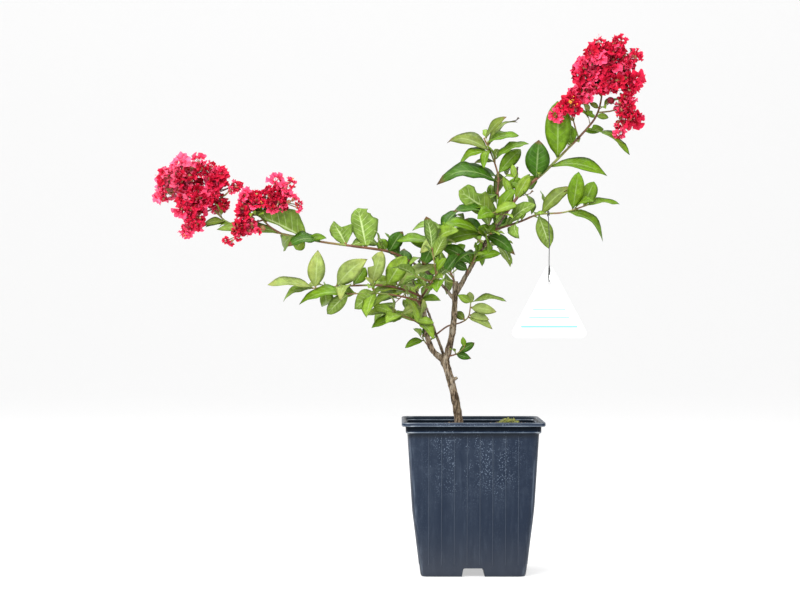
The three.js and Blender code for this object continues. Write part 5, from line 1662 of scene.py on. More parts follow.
def wire_pile():
    """A thin wire from the knot, twisted with its own end, through the hole and back over."""
    x, y, _ = (LABEL_LOW + LABEL_HIGH) / 2
    top = LABEL_HIGH[2]
    off = (LABEL_HIGH[1] - LABEL_LOW[1]) / 2 + 1.0
    hole = LABEL_APEX - LABEL_HOLE_DROP + LABEL_HOLE
    knot_x, knot_z = (WIRE_LOW[0] + WIRE_HIGH[0]) / 2, WIRE_HIGH[2] - 1.6
    loop = Route([
        [x - 0.6, y - off, top - 6],
        [x - 0.9, y - off, hole + 4],
        [x - 0.3, y - off + 0.2, hole - 0.2],
        [x, y, hole - 1.1],
        [x + 0.4, y + off - 0.2, hole + 0.2],
        [x + 0.9, y + off, hole + 6],
        [x + 0.7, y + off, top - 3],
        [x + 0.2, y, top + 0.9],
        [x + 0.2, y - off, top - 2.5],
    ])
    straight = Route([
        [x - 0.1, y - off, top - 7],
        [x, y - off - 0.1, top - 2],
        [x - 0.2, y - off - 0.2, top + 4],
        [(x + knot_x) / 2 + 0.5, y - off, (top + knot_z) / 2],
        [knot_x, y - 1.2, knot_z],
    ])
    pile = Pile()
    pile.add(*rings([loop.point(share) for share in np.linspace(0, 1, 60)], WIRE_RADIUS, 8), 0)
    thinner = WIRE_RADIUS * 0.9
    pile.add(*rings([straight.point(share) for share in np.linspace(0, 1, 50)], thinner, 8), 0)
    for strand in range(2):
        line = []
        for share in np.linspace(0, 1, 70):
            angle = share * 2 * math.pi * STRAND_TURNS + strand * math.pi
            swell = 0.75 * math.sin(math.pi * min(max(share * 1.1 - 0.05, 0), 1)) ** 0.4
            away = y - off - 0.1 + math.sin(angle) * swell * 0.8
            line.append([x + math.cos(angle) * swell, away, top + 1 - 10 * share])
        pile.add(*rings(line, thinner, 6), 0)
    curl = [[knot_x, y - 1.2, knot_z]]
    loop_x, loop_y, loop_z = WIRE_LOOP
    for share in np.linspace(0, 1, 46):
        angle = share * 2 * math.pi * KNOT_TURNS - math.pi / 2
        around, up = KNOT_RADIUS * math.cos(angle), KNOT_RADIUS * math.sin(angle)
        curl.append([loop_x - 1 + 2 * share, loop_y + around, loop_z + up])
    pile.add(*rings(curl, WIRE_RADIUS, 6), 0)
    return pile


# ---- leaves ----
LEAF_SHEET = sheet_template(across=4, stations=11, closed=True)
FINE_SHEET = sheet_template(across=8, stations=22, closed=True)
PETIOLE_END = 0.06
SHOULDER = 0.78  # how quickly a blade widens from its foot


def leaf_outline(along, fullness):
    """Half the blade's width, from 0 to 1, at each share of the leaf's length."""
    share = np.clip((along - PETIOLE_END) / (1 - PETIOLE_END), 0, 1)
    widest = SHOULDER / (SHOULDER + fullness)
    most = widest**SHOULDER * (1 - widest) ** fullness
    return share**SHOULDER * (1 - share) ** fullness / most


def leaf_corners(leaf, sizes, draw, sheet=LEAF_SHEET):
    """The corners of one leaf: folded from its midrib, arched, wavy at its edge and a little twisted."""
    across, along = sheet["across"], sheet["along"]
    face, ahead = leaf["face"], leaf["along"]
    length, half = leaf["length"], leaf["width"] / 2
    fullness = 0.72 + 0.3 * draw()
    if "halves" in leaf:
        left, right = (np.interp(along, *np.transpose(side)) for side in leaf["halves"])
        wide = np.where(across < 0, left, right)
    else:
        wide = leaf_outline(along, fullness) * half
    wide = np.maximum(wide, 0.035 * half + 0.25)
    wave = sizes.wave * half * (0.6 + 0.8 * draw())
    waves = 1.5 + 1.5 * draw()
    phase = [2 * math.pi * draw(), 2 * math.pi * draw()]
    twist = (draw() - 0.5) * 0.5
    bow = 0.0 if "halves" in leaf else (0.03 + 0.07 * draw()) * length * math.hypot(*ahead[:2])
    curl = leaf.get("curl", 0.0) + (draw() - 0.5) * 0.12
    side_phase = np.where(across < 0, phase[0], phase[1])
    edge = np.abs(across) ** 2
    if "bite" in leaf and "halves" not in leaf:
        bite_side, bite_at, bite_reach, bite_depth = leaf["bite"]
        near = np.clip(1 - ((along - bite_at) / bite_reach) ** 2, 0, 1)
        wide = wide * np.where(np.sign(across) == bite_side, 1 - bite_depth * near, 1)
    sideways = across * wide
    lift = leaf["arch"] * length * np.sin(math.pi * along)
    lift = lift + 1.6 * leaf["fold"] * np.abs(sideways)
    lift = lift + wave * edge * np.sin(2 * math.pi * waves * along + side_phase)
    lift = lift - curl * length * np.clip(along - 0.55, 0, 1) ** 2 * 2
    lift = lift - np.where(sheet["under"], sizes.thickness / MM, 0)
    angle = twist * (along - 0.3)
    side = np.cross(ahead, face)
    turned_side = np.outer(np.cos(angle), side) + np.outer(np.sin(angle), face)
    turned_face = np.outer(np.cos(angle), face) - np.outer(np.sin(angle), side)
    return (
        leaf["base"]
        + np.outer(along * length, ahead)
        + turned_side * sideways[:, None]
        + turned_face * lift[:, None]
        + np.outer(bow * 4 * along * (1 - along), SKY)
    )


def flat_of(sheet):
    """The flat places of a sheet's corners: across and along, both from 0 to 1."""
    return np.column_stack([(sheet["across"] + 1) / 2, sheet["along"]])


# ---- blossom ----
PETAL_SHEET = sheet_template(across=20, stations=3, closed=False)
PETALS = 6
CLAW = 0.36  # the share of a petal's reach that is its thin claw


def petal_corners(flower, order, sizes, draw):
    """One crinkled petal on its thin claw; its frilled limb tilts and twists in its own way."""
    across, along = PETAL_SHEET["across"], PETAL_SHEET["along"]
    facing, radius = flower["facing"], flower["radius"]
    first = unit(np.cross(facing, SKY + 0.01 * OPEN_SIDE))
    second = np.cross(facing, first)
    turn = flower["turn"] + (order + 0.5 * (draw() - 0.5)) * 2 * math.pi / PETALS
    outward = first * math.cos(turn) + second * math.sin(turn)
    rise = 0.15 + 0.5 * draw()
    claw_tip = flower["centre"] + radius * CLAW * (outward + facing * rise)
    sideways = np.cross(facing, outward)
    limb_out = turned(outward, sideways, math.radians(sizes.petal_tilt) * (draw() - 0.62))
    limb_side = turned(sideways, limb_out, math.radians(90) * (draw() - 0.5))
    limb_up = np.cross(limb_out, limb_side)
    spread = along**0.9
    fan = across * math.radians(sizes.petal_fan) * (0.85 + 0.3 * draw())
    phase = [2 * math.pi * draw() for _ in range(4)]
    frill = 1 + 0.13 * np.sin(across * 9 + phase[0]) + 0.05 * np.sin(across * 14 + phase[1])
    frill = frill * (1 - 0.5 * np.abs(across) ** 3)
    reach = radius * (1 - CLAW) * (0.85 + 0.35 * draw()) * (0.12 + 0.88 * spread * frill)
    ruffle = sizes.ruffle * radius * spread**1.3
    lift = ruffle * (np.sin(across * 10 + phase[2]) + 0.5 * np.sin(across * 15 + phase[3]))
    lift = lift + 0.25 * radius * spread**2 * (draw() - 0.4)
    return (
        claw_tip
        + np.outer(reach * np.cos(fan), limb_out)
        + np.outer(reach * np.sin(fan), limb_side)
        + np.outer(lift, limb_up)
    )


def stamen_points(flower, long, draw):
    """The line of one stamen, which bends back at its tip where it is one of the long ones."""
    facing = flower["facing"]
    lean = unit(np.array([draw() - 0.5, draw() - 0.5, draw() - 0.5]))
    lean = unit(lean - facing * np.dot(lean, facing))
    reach = flower["radius"] * ((0.75 + 0.2 * draw()) if long else (0.35 + 0.2 * draw()))
    start = flower["centre"] + facing * 0.1 * flower["radius"]
    ahead = unit(facing + lean * (0.9 if long else 0.45) * draw())
    end = start + ahead * reach
    middle = (start + end) / 2 + lean * reach * (0.16 if long else 0.04)
    return [start, middle, end]


def bead(centre, axis, long, thick, sides=5):
    """A small closed oval drawn out along its axis."""
    shares = np.array([-1.0, -0.62, 0.1, 0.7, 1.0])
    widths = np.array([0.05, 0.8, 1.0, 0.55, 0.05]) * thick
    return rings([centre + axis * share * long for share in shares], widths, sides)


# ---- finishes ----
# Painted shade: the colour that darkens the pot's inner walls and the inside of its lip.
INSIDE_SHADE = (0.003, 0.006, 0.011)  # inside the pot
# Painted shadow: the colour of the dark bands under the collar and under the lip.
PAINTED_SHADOW = (0.002, 0.004, 0.007)  # under the collar and between it and the lip
WORN_FOOT = (0.046, 0.050, 0.060)
# Painted highlights: the light lines along the rim, the lip's lower edge and the collar's lower edge, and
# brighter ones at their ends and up the body by its corners.
EDGE_HIGHLIGHT, BRIGHT_HIGHLIGHT = (0.24, 0.29, 0.35), (0.60, 0.64, 0.68)
COLLAR_INSIDE, LIP_INSIDE = 0.070, 0.0728  # half widths in metres
CORNER_INSET = 0.0078  # where a side's flat face turns into its corner


def pot_finish(sizes, name="pot_plastic", painted_sheen=0.0, specular=0.2):
    """Dark moulded plastic: dried dust and splashes, faint draw lines, a worn foot, painted highlights,
    shadow and shade.
    """
    finish = Finish(name, sizes.plastic, 0.34, specular=specular)
    band, cloud, mix = finish.band, finish.cloud, finish.mix
    place = finish.object_place()
    x, y, height = finish.parts(place)
    aside, deep = (finish.away(value, middle) for value, middle in zip((x, y), POT_MIDDLE))
    outward = finish.maths("MAXIMUM", aside, deep)
    collar_top, collar_foot = (level * MM for level in pot_sizes(sizes)[:2])

    lines = cloud(finish.object_place((260.0, 260.0, 9.0)), 1.0, 4.0, 0.6)
    clouds = cloud(place, 34.0, 5.0, 0.6)
    panels = cloud(finish.object_place((70.0, 70.0, 3.0)), 1.0, 2.0)
    blotches = band(cloud(place, 130.0, 5.0, 0.7), 0.48, 0.66) * band(height, 0.05, 0.11)
    dusty = band(clouds, 0.46, 0.72) * band(height, 0.04, 0.12)
    # Painted highlight: the lighter streaks at the upright corners stand in for sheen on their rounding. The
    # rest of this mix is dust, draw lines, panels and blotches, plus the ribs' painted sheen.
    corner = band(finish.away(aside, deep), 0.006, 0.001) * band(lines, 0.42, 0.66)
    dust_and_sheen = dusty * 0.035 + band(lines, 0.5, 0.74) * 0.056 + corner * 0.3 + painted_sheen
    dust_and_sheen = dust_and_sheen + band(panels, 0.42, 0.60) * 0.025 + blotches * 0.045
    colour = mix(dust_and_sheen, sizes.plastic, sizes.dust)

    splashed = band(height, 0.065, 0.12) * band(aside, 0.060, 0.025)
    drips = cloud(finish.object_place((1.0, 1.0, 0.3)), 75.0, 4.0)
    specks = finish.cells(finish.object_place((1.0, 1.0, 0.7)), 720.0)
    speckle = band(specks, 0.38, 0.12) * band(drips, 0.40, 0.58) * (splashed * 0.9 + 0.1)
    colour = mix(speckle * 0.42, colour, scaled(sizes.dust, 2))
    foot = band(height, 0.060, 0.0) * (0.15 + clouds * 0.45)
    colour = mix(foot, colour, WORN_FOOT)

    above_lip = band(height, collar_top, collar_top + 0.001)
    shadow = band(height, collar_foot - 0.0075, collar_foot - 0.0015)
    shadow = shadow * band(height, collar_foot + 0.0004, collar_foot)
    # Painted shadow of the lip on the collar beneath it.
    lip_shadow = band(finish.away(height, collar_top - 0.0022), 0.0030, 0.0016)
    # Masks of the painted shade inside the pot: its inner walls below the rim and the inside of the lip.
    inside = band(outward, COLLAR_INSIDE, COLLAR_INSIDE - 0.0005)
    inside = inside * band(height, collar_foot, collar_foot + 0.001)
    lip_inside_shade = band(outward, LIP_INSIDE, LIP_INSIDE - 0.0006) * above_lip
    colour = mix(above_lip * 0.05, colour, sizes.dust)
    colour = mix(shadow * (0.5 + clouds * 0.5) + lip_shadow * 0.9, colour, PAINTED_SHADOW)
    colour = mix(finish.maths("MAXIMUM", inside, lip_inside_shade) * 0.85, colour, INSIDE_SHADE)

    # Painted highlights along the rim's top edge, the lip's lower edge and the collar's lower edge, broken
    # into patches by the scuffs noise.
    scuffs = band(cloud(finish.object_place((60.0, 60.0, 300.0)), 1.0, 3.0), 0.40, 0.62)
    rim = band(finish.away(height, POT_HIGH.z - 0.0008), 0.0006, 0.00018) * 0.2
    lip_foot_highlight = band(finish.away(height, collar_top + 0.0008), 0.0007, 0.00021) * 0.6
    collar_edge_highlight = band(finish.away(height, collar_foot + 0.0008), 0.0008, 0.00024) * 0.4
    edges = rim + lip_foot_highlight + collar_edge_highlight
    colour = mix(edges * (0.5 + scuffs * 0.5), colour, EDGE_HIGHLIGHT)
    # Painted highlight up each side by its corner, and brighter painted highlights at the ends of the edge
    # lines.
    upright = band(finish.away(aside, deep + CORNER_INSET), 0.0014, 0.0004)
    ends = edges * band(aside, 0.058, 0.068) * scuffs + upright * (0.10 + scuffs * 0.15)
    colour = mix(ends, colour, BRIGHT_HIGHLIGHT)
    rough = 0.27 + dusty * 0.2 + speckle * 0.2 + foot * 0.2 + cloud(place, 150.0) * 0.12
    relief = lines * 0.35 + cloud(place, 620.0, 2.0) * 0.5
    return finish.paint(colour, rough, relief, 0.00018, 0.45)


def earth_finish(name, colour, pale, fineness=1.0):
    finish = Finish(name, colour, 0.95)
    place = finish.object_place()
    crumbs = finish.cloud(place, 420.0 * fineness, 5.0, 0.7)
    patches = finish.cloud(place, 45.0, 3.0)
    shade = finish.mix(finish.band(crumbs, 0.35, 0.7) * (0.35 + patches * 0.5), colour, pale)
    return finish.paint(shade, 0.82 + crumbs * 0.16, crumbs, 0.0009, 0.8)


def moss_finish(name, colour):
    finish = Finish(name, colour, 0.9, sheen=0.3)
    place = finish.object_place()
    tufts = finish.cells(place, 620.0)
    patches = finish.cloud(place, 130.0)
    shade = finish.mix(finish.band(tufts, 0.1, 0.5), scaled(colour, 1.25), scaled(colour, 0.45))
    shade = finish.mix(patches * 0.5, shade, (0.18, 0.15, 0.04))
    return finish.paint(shade, 0.8 + patches * 0.15, tufts, 0.0008, 0.7)


def bark_finish(sizes):
    """Grey-brown bark with long streaks, pale flakes, mossy patches and dark pores."""
    finish = Finish("bark", sizes.bark, 0.86, specular=0.2)
    ridges = finish.cloud(finish.object_place((1.0, 1.0, 0.28)), 620.0, 6.0, 0.7)
    flakes = finish.cloud(finish.object_place((1.0, 1.0, 0.4)), 210.0, 5.0, 0.65)
    patches = finish.cloud(finish.object_place(), 60.0, 3.0)
    pores = finish.cells(finish.object_place((1.0, 1.0, 0.5)), 700.0)
    colour = finish.mix(finish.band(ridges, 0.42, 0.56), sizes.crevice, sizes.bark)
    colour = finish.mix(finish.band(flakes, 0.52, 0.66) * 0.6, colour, sizes.cut)
    colour = finish.mix(finish.band(flakes, 0.50, 0.36) * 0.85, colour, sizes.crevice)
    colour = finish.mix(finish.band(patches, 0.50, 0.72) * 0.35, colour, (0.11, 0.095, 0.05))
    colour = finish.mix(finish.band(pores, 0.16, 0.06) * 0.5, colour, sizes.crevice)
    return finish.paint(colour, 0.72 + ridges * 0.2, ridges * 0.8 + flakes * 0.5, 0.0007, 0.8)


def shoot_finish(name, first, second, rough=0.55):
    """Young wood, finely streaked and greener in places."""
    finish = Finish(name, first, rough, specular=0.25)
    place = finish.object_place()
    patches = finish.cloud(place, 55.0, 3.0)
    streaks = finish.cloud(place, 800.0, 3.0)
    colour = finish.mix(finish.band(patches, 0.38, 0.64), first, second)
    colour = finish.mix(finish.band(streaks, 0.45, 0.7) * 0.4, colour, scaled(first, 0.4))
    return finish.paint(colour, rough - 0.08 + streaks * 0.2, streaks, 0.0002, 0.5)


def leaf_finish(name, colour, vein, veins, tip, rough, young, ribbed):
    """A leaf's face: mottled, with a pale midrib, curved side veins and a thin paler edge."""
    finish = Finish(name, colour, rough, specular=0.14)
    across, along = finish.own_uv()
    place = finish.object_place()
    off = finish.maths("ABSOLUTE", across * 2 - 1)
    mottle = finish.cloud(place, 150.0, 4.0, 0.6)
    broad = finish.cloud(place, 34.0, 2.0)
    flow = finish.maths("FRACT", along * veins - off * 1.5 + 4)
    line = finish.maths("ABSOLUTE", flow * 2 - 1)
    side_vein = finish.band(line, 0.86, 0.99) * finish.band(off, 1.0, 0.3)
    midrib = finish.band(off, 0.11, 0.02) * finish.band(along, 1.02, 0.55)
    shade = finish.mix(finish.band(mottle, 0.32, 0.70), scaled(colour, 0.72), scaled(colour, 1.22))
    warm = tuple(c * by for c, by in zip(colour, (1.5, 1.12, 0.8)))
    shade = finish.mix(finish.band(broad, 0.45, 0.75) * 0.3, shade, warm)
    shade = finish.mix(side_vein * ribbed**2 + midrib * ribbed, shade, vein)
    shade = finish.mix(finish.band(off, 0.93, 1.0) * 0.12, shade, vein)
    if tip is not None:
        shade = finish.mix(finish.band(along + mottle * 0.16, 0.93, 1.03), shade, tip)
    if young:
        shade = finish.mix(finish.band(along, 0.75, 1.0) * young, shade, (0.42, 0.16, 0.05))
    relief = 0.5 - side_vein * 0.4 - midrib * 0.6 + finish.cloud(place, 1300.0, 2.0) * 0.25 + mottle * 0.3
    return finish.paint(shade, rough - 0.05 + mottle * 0.22, relief, 0.00035, 0.7)


def petal_finish(name, colour, deep, pale):
    """A crinkled petal: deeper towards its claw, finely streaked, with painted highlights on the crinkles of
    its frill.
    """
    finish = Finish(name, colour, 0.55, specular=0.12)
    across, along = finish.own_uv()
    crinkle = finish.cloud(finish.object_place(), 620.0, 4.0, 0.65)
    fan = finish.maths("SINE", across * 55 + crinkle * 6) * 0.5 + 0.5
    shade = finish.mix(finish.band(along, 0.10, 0.55), deep, colour)
    # Painted highlight: paler patches on the raised crinkles towards the frill.
    shade = finish.mix(finish.band(crinkle, 0.45, 0.72) * finish.band(along, 0.45, 1.0) * 0.55, shade, pale)
    shade = finish.mix(fan * finish.band(along, 0.2, 0.5) * 0.18, shade, deep)
    return finish.paint(shade, 0.44 + crinkle * 0.2, crinkle + fan * 0.4, 0.0005, 0.8)


def speckled_finish(name, colour, second):
    finish = Finish(name, colour, 0.5, specular=0.2)
    fleck = finish.cloud(finish.object_place(), 480.0, 3.0)
    shade = finish.mix(finish.band(fleck, 0.38, 0.66), colour, second)
    return finish.paint(shade, 0.42 + fleck * 0.2, fleck, 0.0002, 0.5)


# Ruled lines on the label in metres: height above its foot, half the length, half the thickness.
RULES = ((0.0115, 0.030, 0.0012), (0.0210, 0.0215, 0.0007), (0.0300, 0.0175, 0.0007))
INK_EDGE = 0.0001


def label_finish(sizes):
    """Smooth white plastic with plain ruled lines and a little soil dust."""
    finish = Finish("label_white", sizes.white, 0.38)
    place = finish.object_place()
    x, _, z = finish.parts(place)
    low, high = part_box("label")
    aside = finish.away(x, (low.x + high.x) / 2)
    ink = 0.0
    for up, half, thick in RULES:
        line = finish.band(finish.away(z, low.z + up), thick + INK_EDGE, thick - INK_EDGE)
        ink = line * finish.band(aside, half + INK_EDGE, half - INK_EDGE) + ink
    dust = finish.cloud(place, 60.0, 5.0, 0.65)
    grain = finish.cloud(place, 900.0, 2.0)
    shade = finish.mix(finish.band(dust, 0.52, 0.8) * 0.35, sizes.white, (0.66, 0.66, 0.62))
    shade = finish.mix(ink * 0.9, shade, sizes.ink)
    return finish.paint(shade, 0.32 + dust * 0.14, grain + dust, 0.00008, 0.35)


def wire_finish(sizes):
    finish = Finish("wire_coat", sizes.wire, 0.4, coat=0.2)
    scuffs = finish.cloud(finish.object_place(), 700.0, 3.0)
    shade = finish.mix(finish.band(scuffs, 0.52, 0.7) * 0.5, sizes.wire, (0.16, 0.15, 0.14))
    return finish.paint(shade, 0.32 + scuffs * 0.25, scuffs, 0.00005, 0.4)


def floor_finish(sizes):
    finish = Finish("studio_floor", sizes.floor, 0.75)
    soft = finish.cloud(finish.object_place(), 3.0, 2.0)
    shade = finish.mix(soft * 0.1, sizes.floor, scaled(sizes.floor, 0.97))
    finish.shader.inputs["Emission Color"].default_value = (1.0, 1.0, 1.0, 1.0)
    finish.shader.inputs["Emission Strength"].default_value = sizes.glow
    return finish.paint(shade, 0.7 + soft * 0.1)


# ---- pieces ----
STEM_SIDES = 7
WOODY = 0.5  # the share of a stem, from its foot, that is older wood


def stems_pile(growth):
    """Stems, branches, twigs and stalks of all masses, with a small bud by every leaf."""
    draw = seeded_draws(SEED["stems"])
    pile = Pile()
    for name, mass in MASSES.items():
        route = growth.routes[name]
        steps = max(int(route.lengths[-1] / 4), 4)
        shares = np.linspace(0, 1, steps + 1)
        widths = tapered(mass["radii"], shares)
        widths = widths * (1 + 0.10 * np.array([draw() - 0.5 for _ in shares]))
        corners, faces = rings([route.point(share) for share in shares], widths, STEM_SIDES)
        finishes = []
        for step in range(steps):
            finishes += [YOUNG_WOOD if step / steps < WOODY else GREEN_WOOD] * STEM_SIDES
        finishes += [YOUNG_WOOD] * STEM_SIDES + [GREEN_WOOD] * STEM_SIDES
        pile.add(corners, faces, finishes)
        for at, *heart in mass.get("hearts", []):
            start, end = route.point(at), np.array(heart, float)
            middle = (start + end) / 2 + np.array([0, 0, -1.0])
            pile.add(*rings([start, middle, end], (0.95, 0.85, 0.75), 6), FLOWER_STALK)
    for foot, tip in DRY_TIPS:
        foot, tip = np.array(foot, float), np.array(tip, float)
        bent = foot + (tip - foot) * 0.6 + np.array([1.5, 0, -1.0])
        pile.add(*rings([foot, bent, tip, tip + [1.2, 0, -0.8]], (0.35, 0.5, 1.1, 0.3), 6), DRY_TIP)
    for twig in growth.twigs:
        start, end = twig["points"]
        middle = (start + end) / 2 + SKY * np.linalg.norm(end - start) * 0.05
        first, last = twig["radii"]
        pile.add(*rings([start, middle, end], (first * 0.85, first * 0.7, last * 0.8), 6), GREEN_WOOD)
    for stalk in growth.stalks:
        start, end = stalk["points"]
        middle = (start + end) / 2 + np.array([draw() - 0.5, draw() - 0.5, draw() - 0.7]) * 1.5
        middle -= OPEN_SIDE * max(np.linalg.norm(end - start) - 12, 0) * 0.45
        pile.add(*rings([start, middle, end], (0.6, 0.5, 0.62), 6), FLOWER_STALK)
    for leaf in growth.leaves:
        budward = unit(leaf["along"] + SKY * 0.6)
        finish = FLOWER_STALK if draw() < 0.5 else GREEN_WOOD
        pile.add(*bead(leaf["base"] + budward * 1.7, budward, 1.7, 0.8), finish)
    return pile


def leaf_pile(growth, sizes):
    """All leaves, each with the finishes of its face and its underside."""
    draw = seeded_draws(SEED["leaves"])
    pile = Pile()
    for leaf in growth.leaves:
        sheet = FINE_SHEET if "halves" in leaf else LEAF_SHEET
        face, back = 2 * leaf["tint"], 2 * leaf["tint"] + 1
        if leaf["turned_over"]:
            face, back = back, face
        finishes = [back if below else face for below in sheet["face_under"]]
        pile.add(leaf_corners(leaf, sizes, draw, sheet), sheet["faces"], finishes, flat_of(sheet))
    return pile


# Painted highlight: on the lit upper left of the left head most flowers take the pink copy.
PINK_LEFT_OF, PINK_ABOVE, PINK_SHARE = -298, 395, 0.7  # most flowers at that side are paler


def blossom_piles(growth, sizes):
    """Petals in one pile for each side of the plant, and cups, stamens and buds in another."""
    draw = seeded_draws(SEED["blossom"])
    petals = {"left": Pile(), "right": Pile()}
    hearts = Pile()
    flat = flat_of(PETAL_SHEET)
    for flower in growth.flowers:
        flower["turn"] = 2 * math.pi * draw()
        shade = draw()
        shade = flower.get("shade", CRIMSON if shade < 0.62 else ROSE_HIGHLIGHT if shade < 0.9 else DARK_SHADE)
        centre, facing, radius = flower["centre"], flower["facing"], flower["radius"]
        if centre[0] < PINK_LEFT_OF and centre[2] > PINK_ABOVE and draw() < PINK_SHARE:
            shade = PINK_HIGHLIGHT
        pile = petals["right" if centre[0] > 0 else "left"]
        for order in range(PETALS):
            finish = shade if draw() < 0.75 else (CRIMSON, ROSE_HIGHLIGHT, DARK_SHADE)[int(draw() * 3)]
            corners = petal_corners(flower, order, sizes, draw)
            pile.add(corners, PETAL_SHEET["faces"], finish, flat)
            foot, claw = centre + 0.02 * facing, corners[PETAL_SHEET["along"] < 0.01].mean(0)
            pile.add(*rings([foot, (foot + claw) / 2, claw], (0.3, 0.26, 0.4), 3), DARK_SHADE)
        cup = CALYX if draw() < 0.6 else BUD_STALK
        hearts.add(*bead(centre - facing * 1.4, facing, 2.8, 0.15 * radius + 0.6, 6), cup)
        bushy = flower.get("golden", False)
        golden = draw() < 0.06 or bushy
        many, big = (4, 1.7) if bushy else (1, 1)
        tip = POLLEN if golden else FILAMENT
        for order in range(sizes.stamens * many):
            long = order % 3 == 0
            points = stamen_points(flower, long, draw)
            hearts.add(*rings(points, np.array((0.16, 0.14, 0.12)) * big, 3), FILAMENT if long else tip)
            if golden or order % 2:
                ahead = unit(points[-1] - points[-2])
                hearts.add(*bead(points[-1], ahead, 0.6 * big, 0.36 * big, 4), tip)
    for bud in growth.buds:
        size = bud["size"]
        hearts.add(*bead(bud["centre"], bud["facing"], size * 1.15, size, 8), bud["finish"])
        start = bud["centre"] - bud["facing"] * size
        line = [bud["foot"], (bud["foot"] + start) / 2 + 0.3, start]
        hearts.add(*rings(line, (0.5, 0.42, 0.5), 5), BUD_STALK)
    return petals, hearts


GROWN = {}


def grown_plant():
    """The plant is grown once and shared by the pieces that draw it."""
    if "plant" not in GROWN:
        GROWN["plant"] = Growth()
        GROWN["plant"].dress()
    return GROWN["plant"]


# ---- stage: sizes in metres ----
FLOOR_HALF, FLOOR_BACK = 7.0, 4.5
COVE_RADIUS, COVE_STEPS = 1.5, 12
WALL_RISE = 3.0
AIM = (0, 0, 0.3)


def backdrop_mesh():
    """A floor that curves up into a wall behind the plant."""
    work = bmesh.new()
    bmesh.ops.create_grid(work, x_segments=1, y_segments=1, size=1)
    bmesh.ops.scale(work, verts=work.verts, vec=(FLOOR_HALF, FLOOR_BACK, 1))
    back = [edge for edge in work.edges if all(vert.co.y > 0 for vert in edge.verts)]
    for step in range(COVE_STEPS):
        angle = math.radians(90) * (step + 1) / COVE_STEPS
        verts = new_verts(bmesh.ops.extrude_edge_only(work, edges=back))
        back = loop_edges(verts)
        for vert in verts:
            vert.co.y = FLOOR_BACK + COVE_RADIUS * math.sin(angle)
            vert.co.z = COVE_RADIUS - COVE_RADIUS * math.cos(angle)
    verts = new_verts(bmesh.ops.extrude_edge_only(work, edges=back))
    bmesh.ops.translate(work, verts=verts, vec=(0, 0, WALL_RISE))
    return mesh_from("studio_floor", work)


def add_lamp(name, place, size, power):
    """A square soft light that looks at the plant."""
    light = bpy.data.lights.new(name, "AREA")
    light.shape, light.size, light.energy = "SQUARE", size, power
    lamp = bpy.data.objects.new(name, light)
    lamp.location = place
    lamp.rotation_euler = (Vector(AIM) - Vector(place)).to_track_quat("-Z", "Y").to_euler()
    bpy.context.scene.collection.objects.link(lamp)


# ---- operators ----
class CRAPE_OT_stage(bpy.types.Operator):
    """Pale floor, soft studio light and the camera"""

    bl_idname = "crape.stage"
    bl_label = "Stage"

    def execute(self, context):
        sizes = context.scene.crape_stage
        mesh = backdrop_mesh()
        floor = bpy.data.objects.new("studio_floor", mesh)
        context.scene.collection.objects.link(floor)
        mesh.materials.append(floor_finish(sizes))
        mesh.shade_smooth()

        world = bpy.data.worlds.new("studio")
        world.use_nodes = True
        world.node_tree.nodes["Background"].inputs[0].default_value = (1.0, 1.0, 1.0, 1.0)
        world.node_tree.nodes["Background"].inputs[1].default_value = sizes.world
        context.scene.world = world
        add_lamp("key_light", (-1.3, -1.9, 2.1), 2.4, sizes.key)
        add_lamp("fill_light", (1.9, -1.6, 1.0), 1.8, sizes.fill)
        add_lamp("top_light", (0.1, 0.5, 2.4), 1.5, sizes.fill * 1.2)

        lens = bpy.data.cameras.new("camera")
        lens.lens, lens.sensor_width = sizes.lens, 36
        lens.clip_start, lens.clip_end = 0.1, 50
        camera = bpy.data.objects.new("camera", lens)
        camera.location = Vector(POT_MIDDLE) + Vector((sizes.camera_x, sizes.camera_y, sizes.camera_z))
        camera.rotation_euler = (math.radians(90), 0, 0)
        context.scene.collection.objects.link(camera)
        context.scene.camera = camera
        context.scene.view_settings.view_transform = "Standard"
        return {"FINISHED"}


class CRAPE_OT_pot(bpy.types.Operator):
    """The square moulded pot and its fine ribs"""

    bl_idname = "crape.pot"
    bl_label = "Pot"

    def execute(self, context):
        sizes = context.scene.crape_pot
        shell = pot_mesh(sizes)
        collar_top, collar_foot = pot_sizes(sizes)[:2]
        # Faces under the lip and inside the pot take a copy of the plastic that reflects less, as painted
        # shade.
        for face in shell.polygons:
            x, y, z = (Vector(face.center) - Vector(POT_MIDDLE)) / MM
            out = max(abs(x), abs(y))
            below_lip = collar_foot + 1 < z < collar_top - 0.2
            face.material_index = int(below_lip or (out < RIM_HALF - 2 and z > collar_foot))
        finishes = [pot_finish(sizes), pot_finish(sizes, "pot_recess_shade", specular=0.05)]
        add_piece("pot_shell", shell, finishes, ["pot"], smooth=False)
        ribs = mesh_from("pot_ribs", rib_work(sizes), sharp=50)
        # The ribs' copy of the finish is lighter all over, a painted highlight on the ribs.
        add_piece("pot_ribs", ribs, [pot_finish(sizes, "pot_rib_highlight", 0.11)], ["pot"])
        return {"FINISHED"}


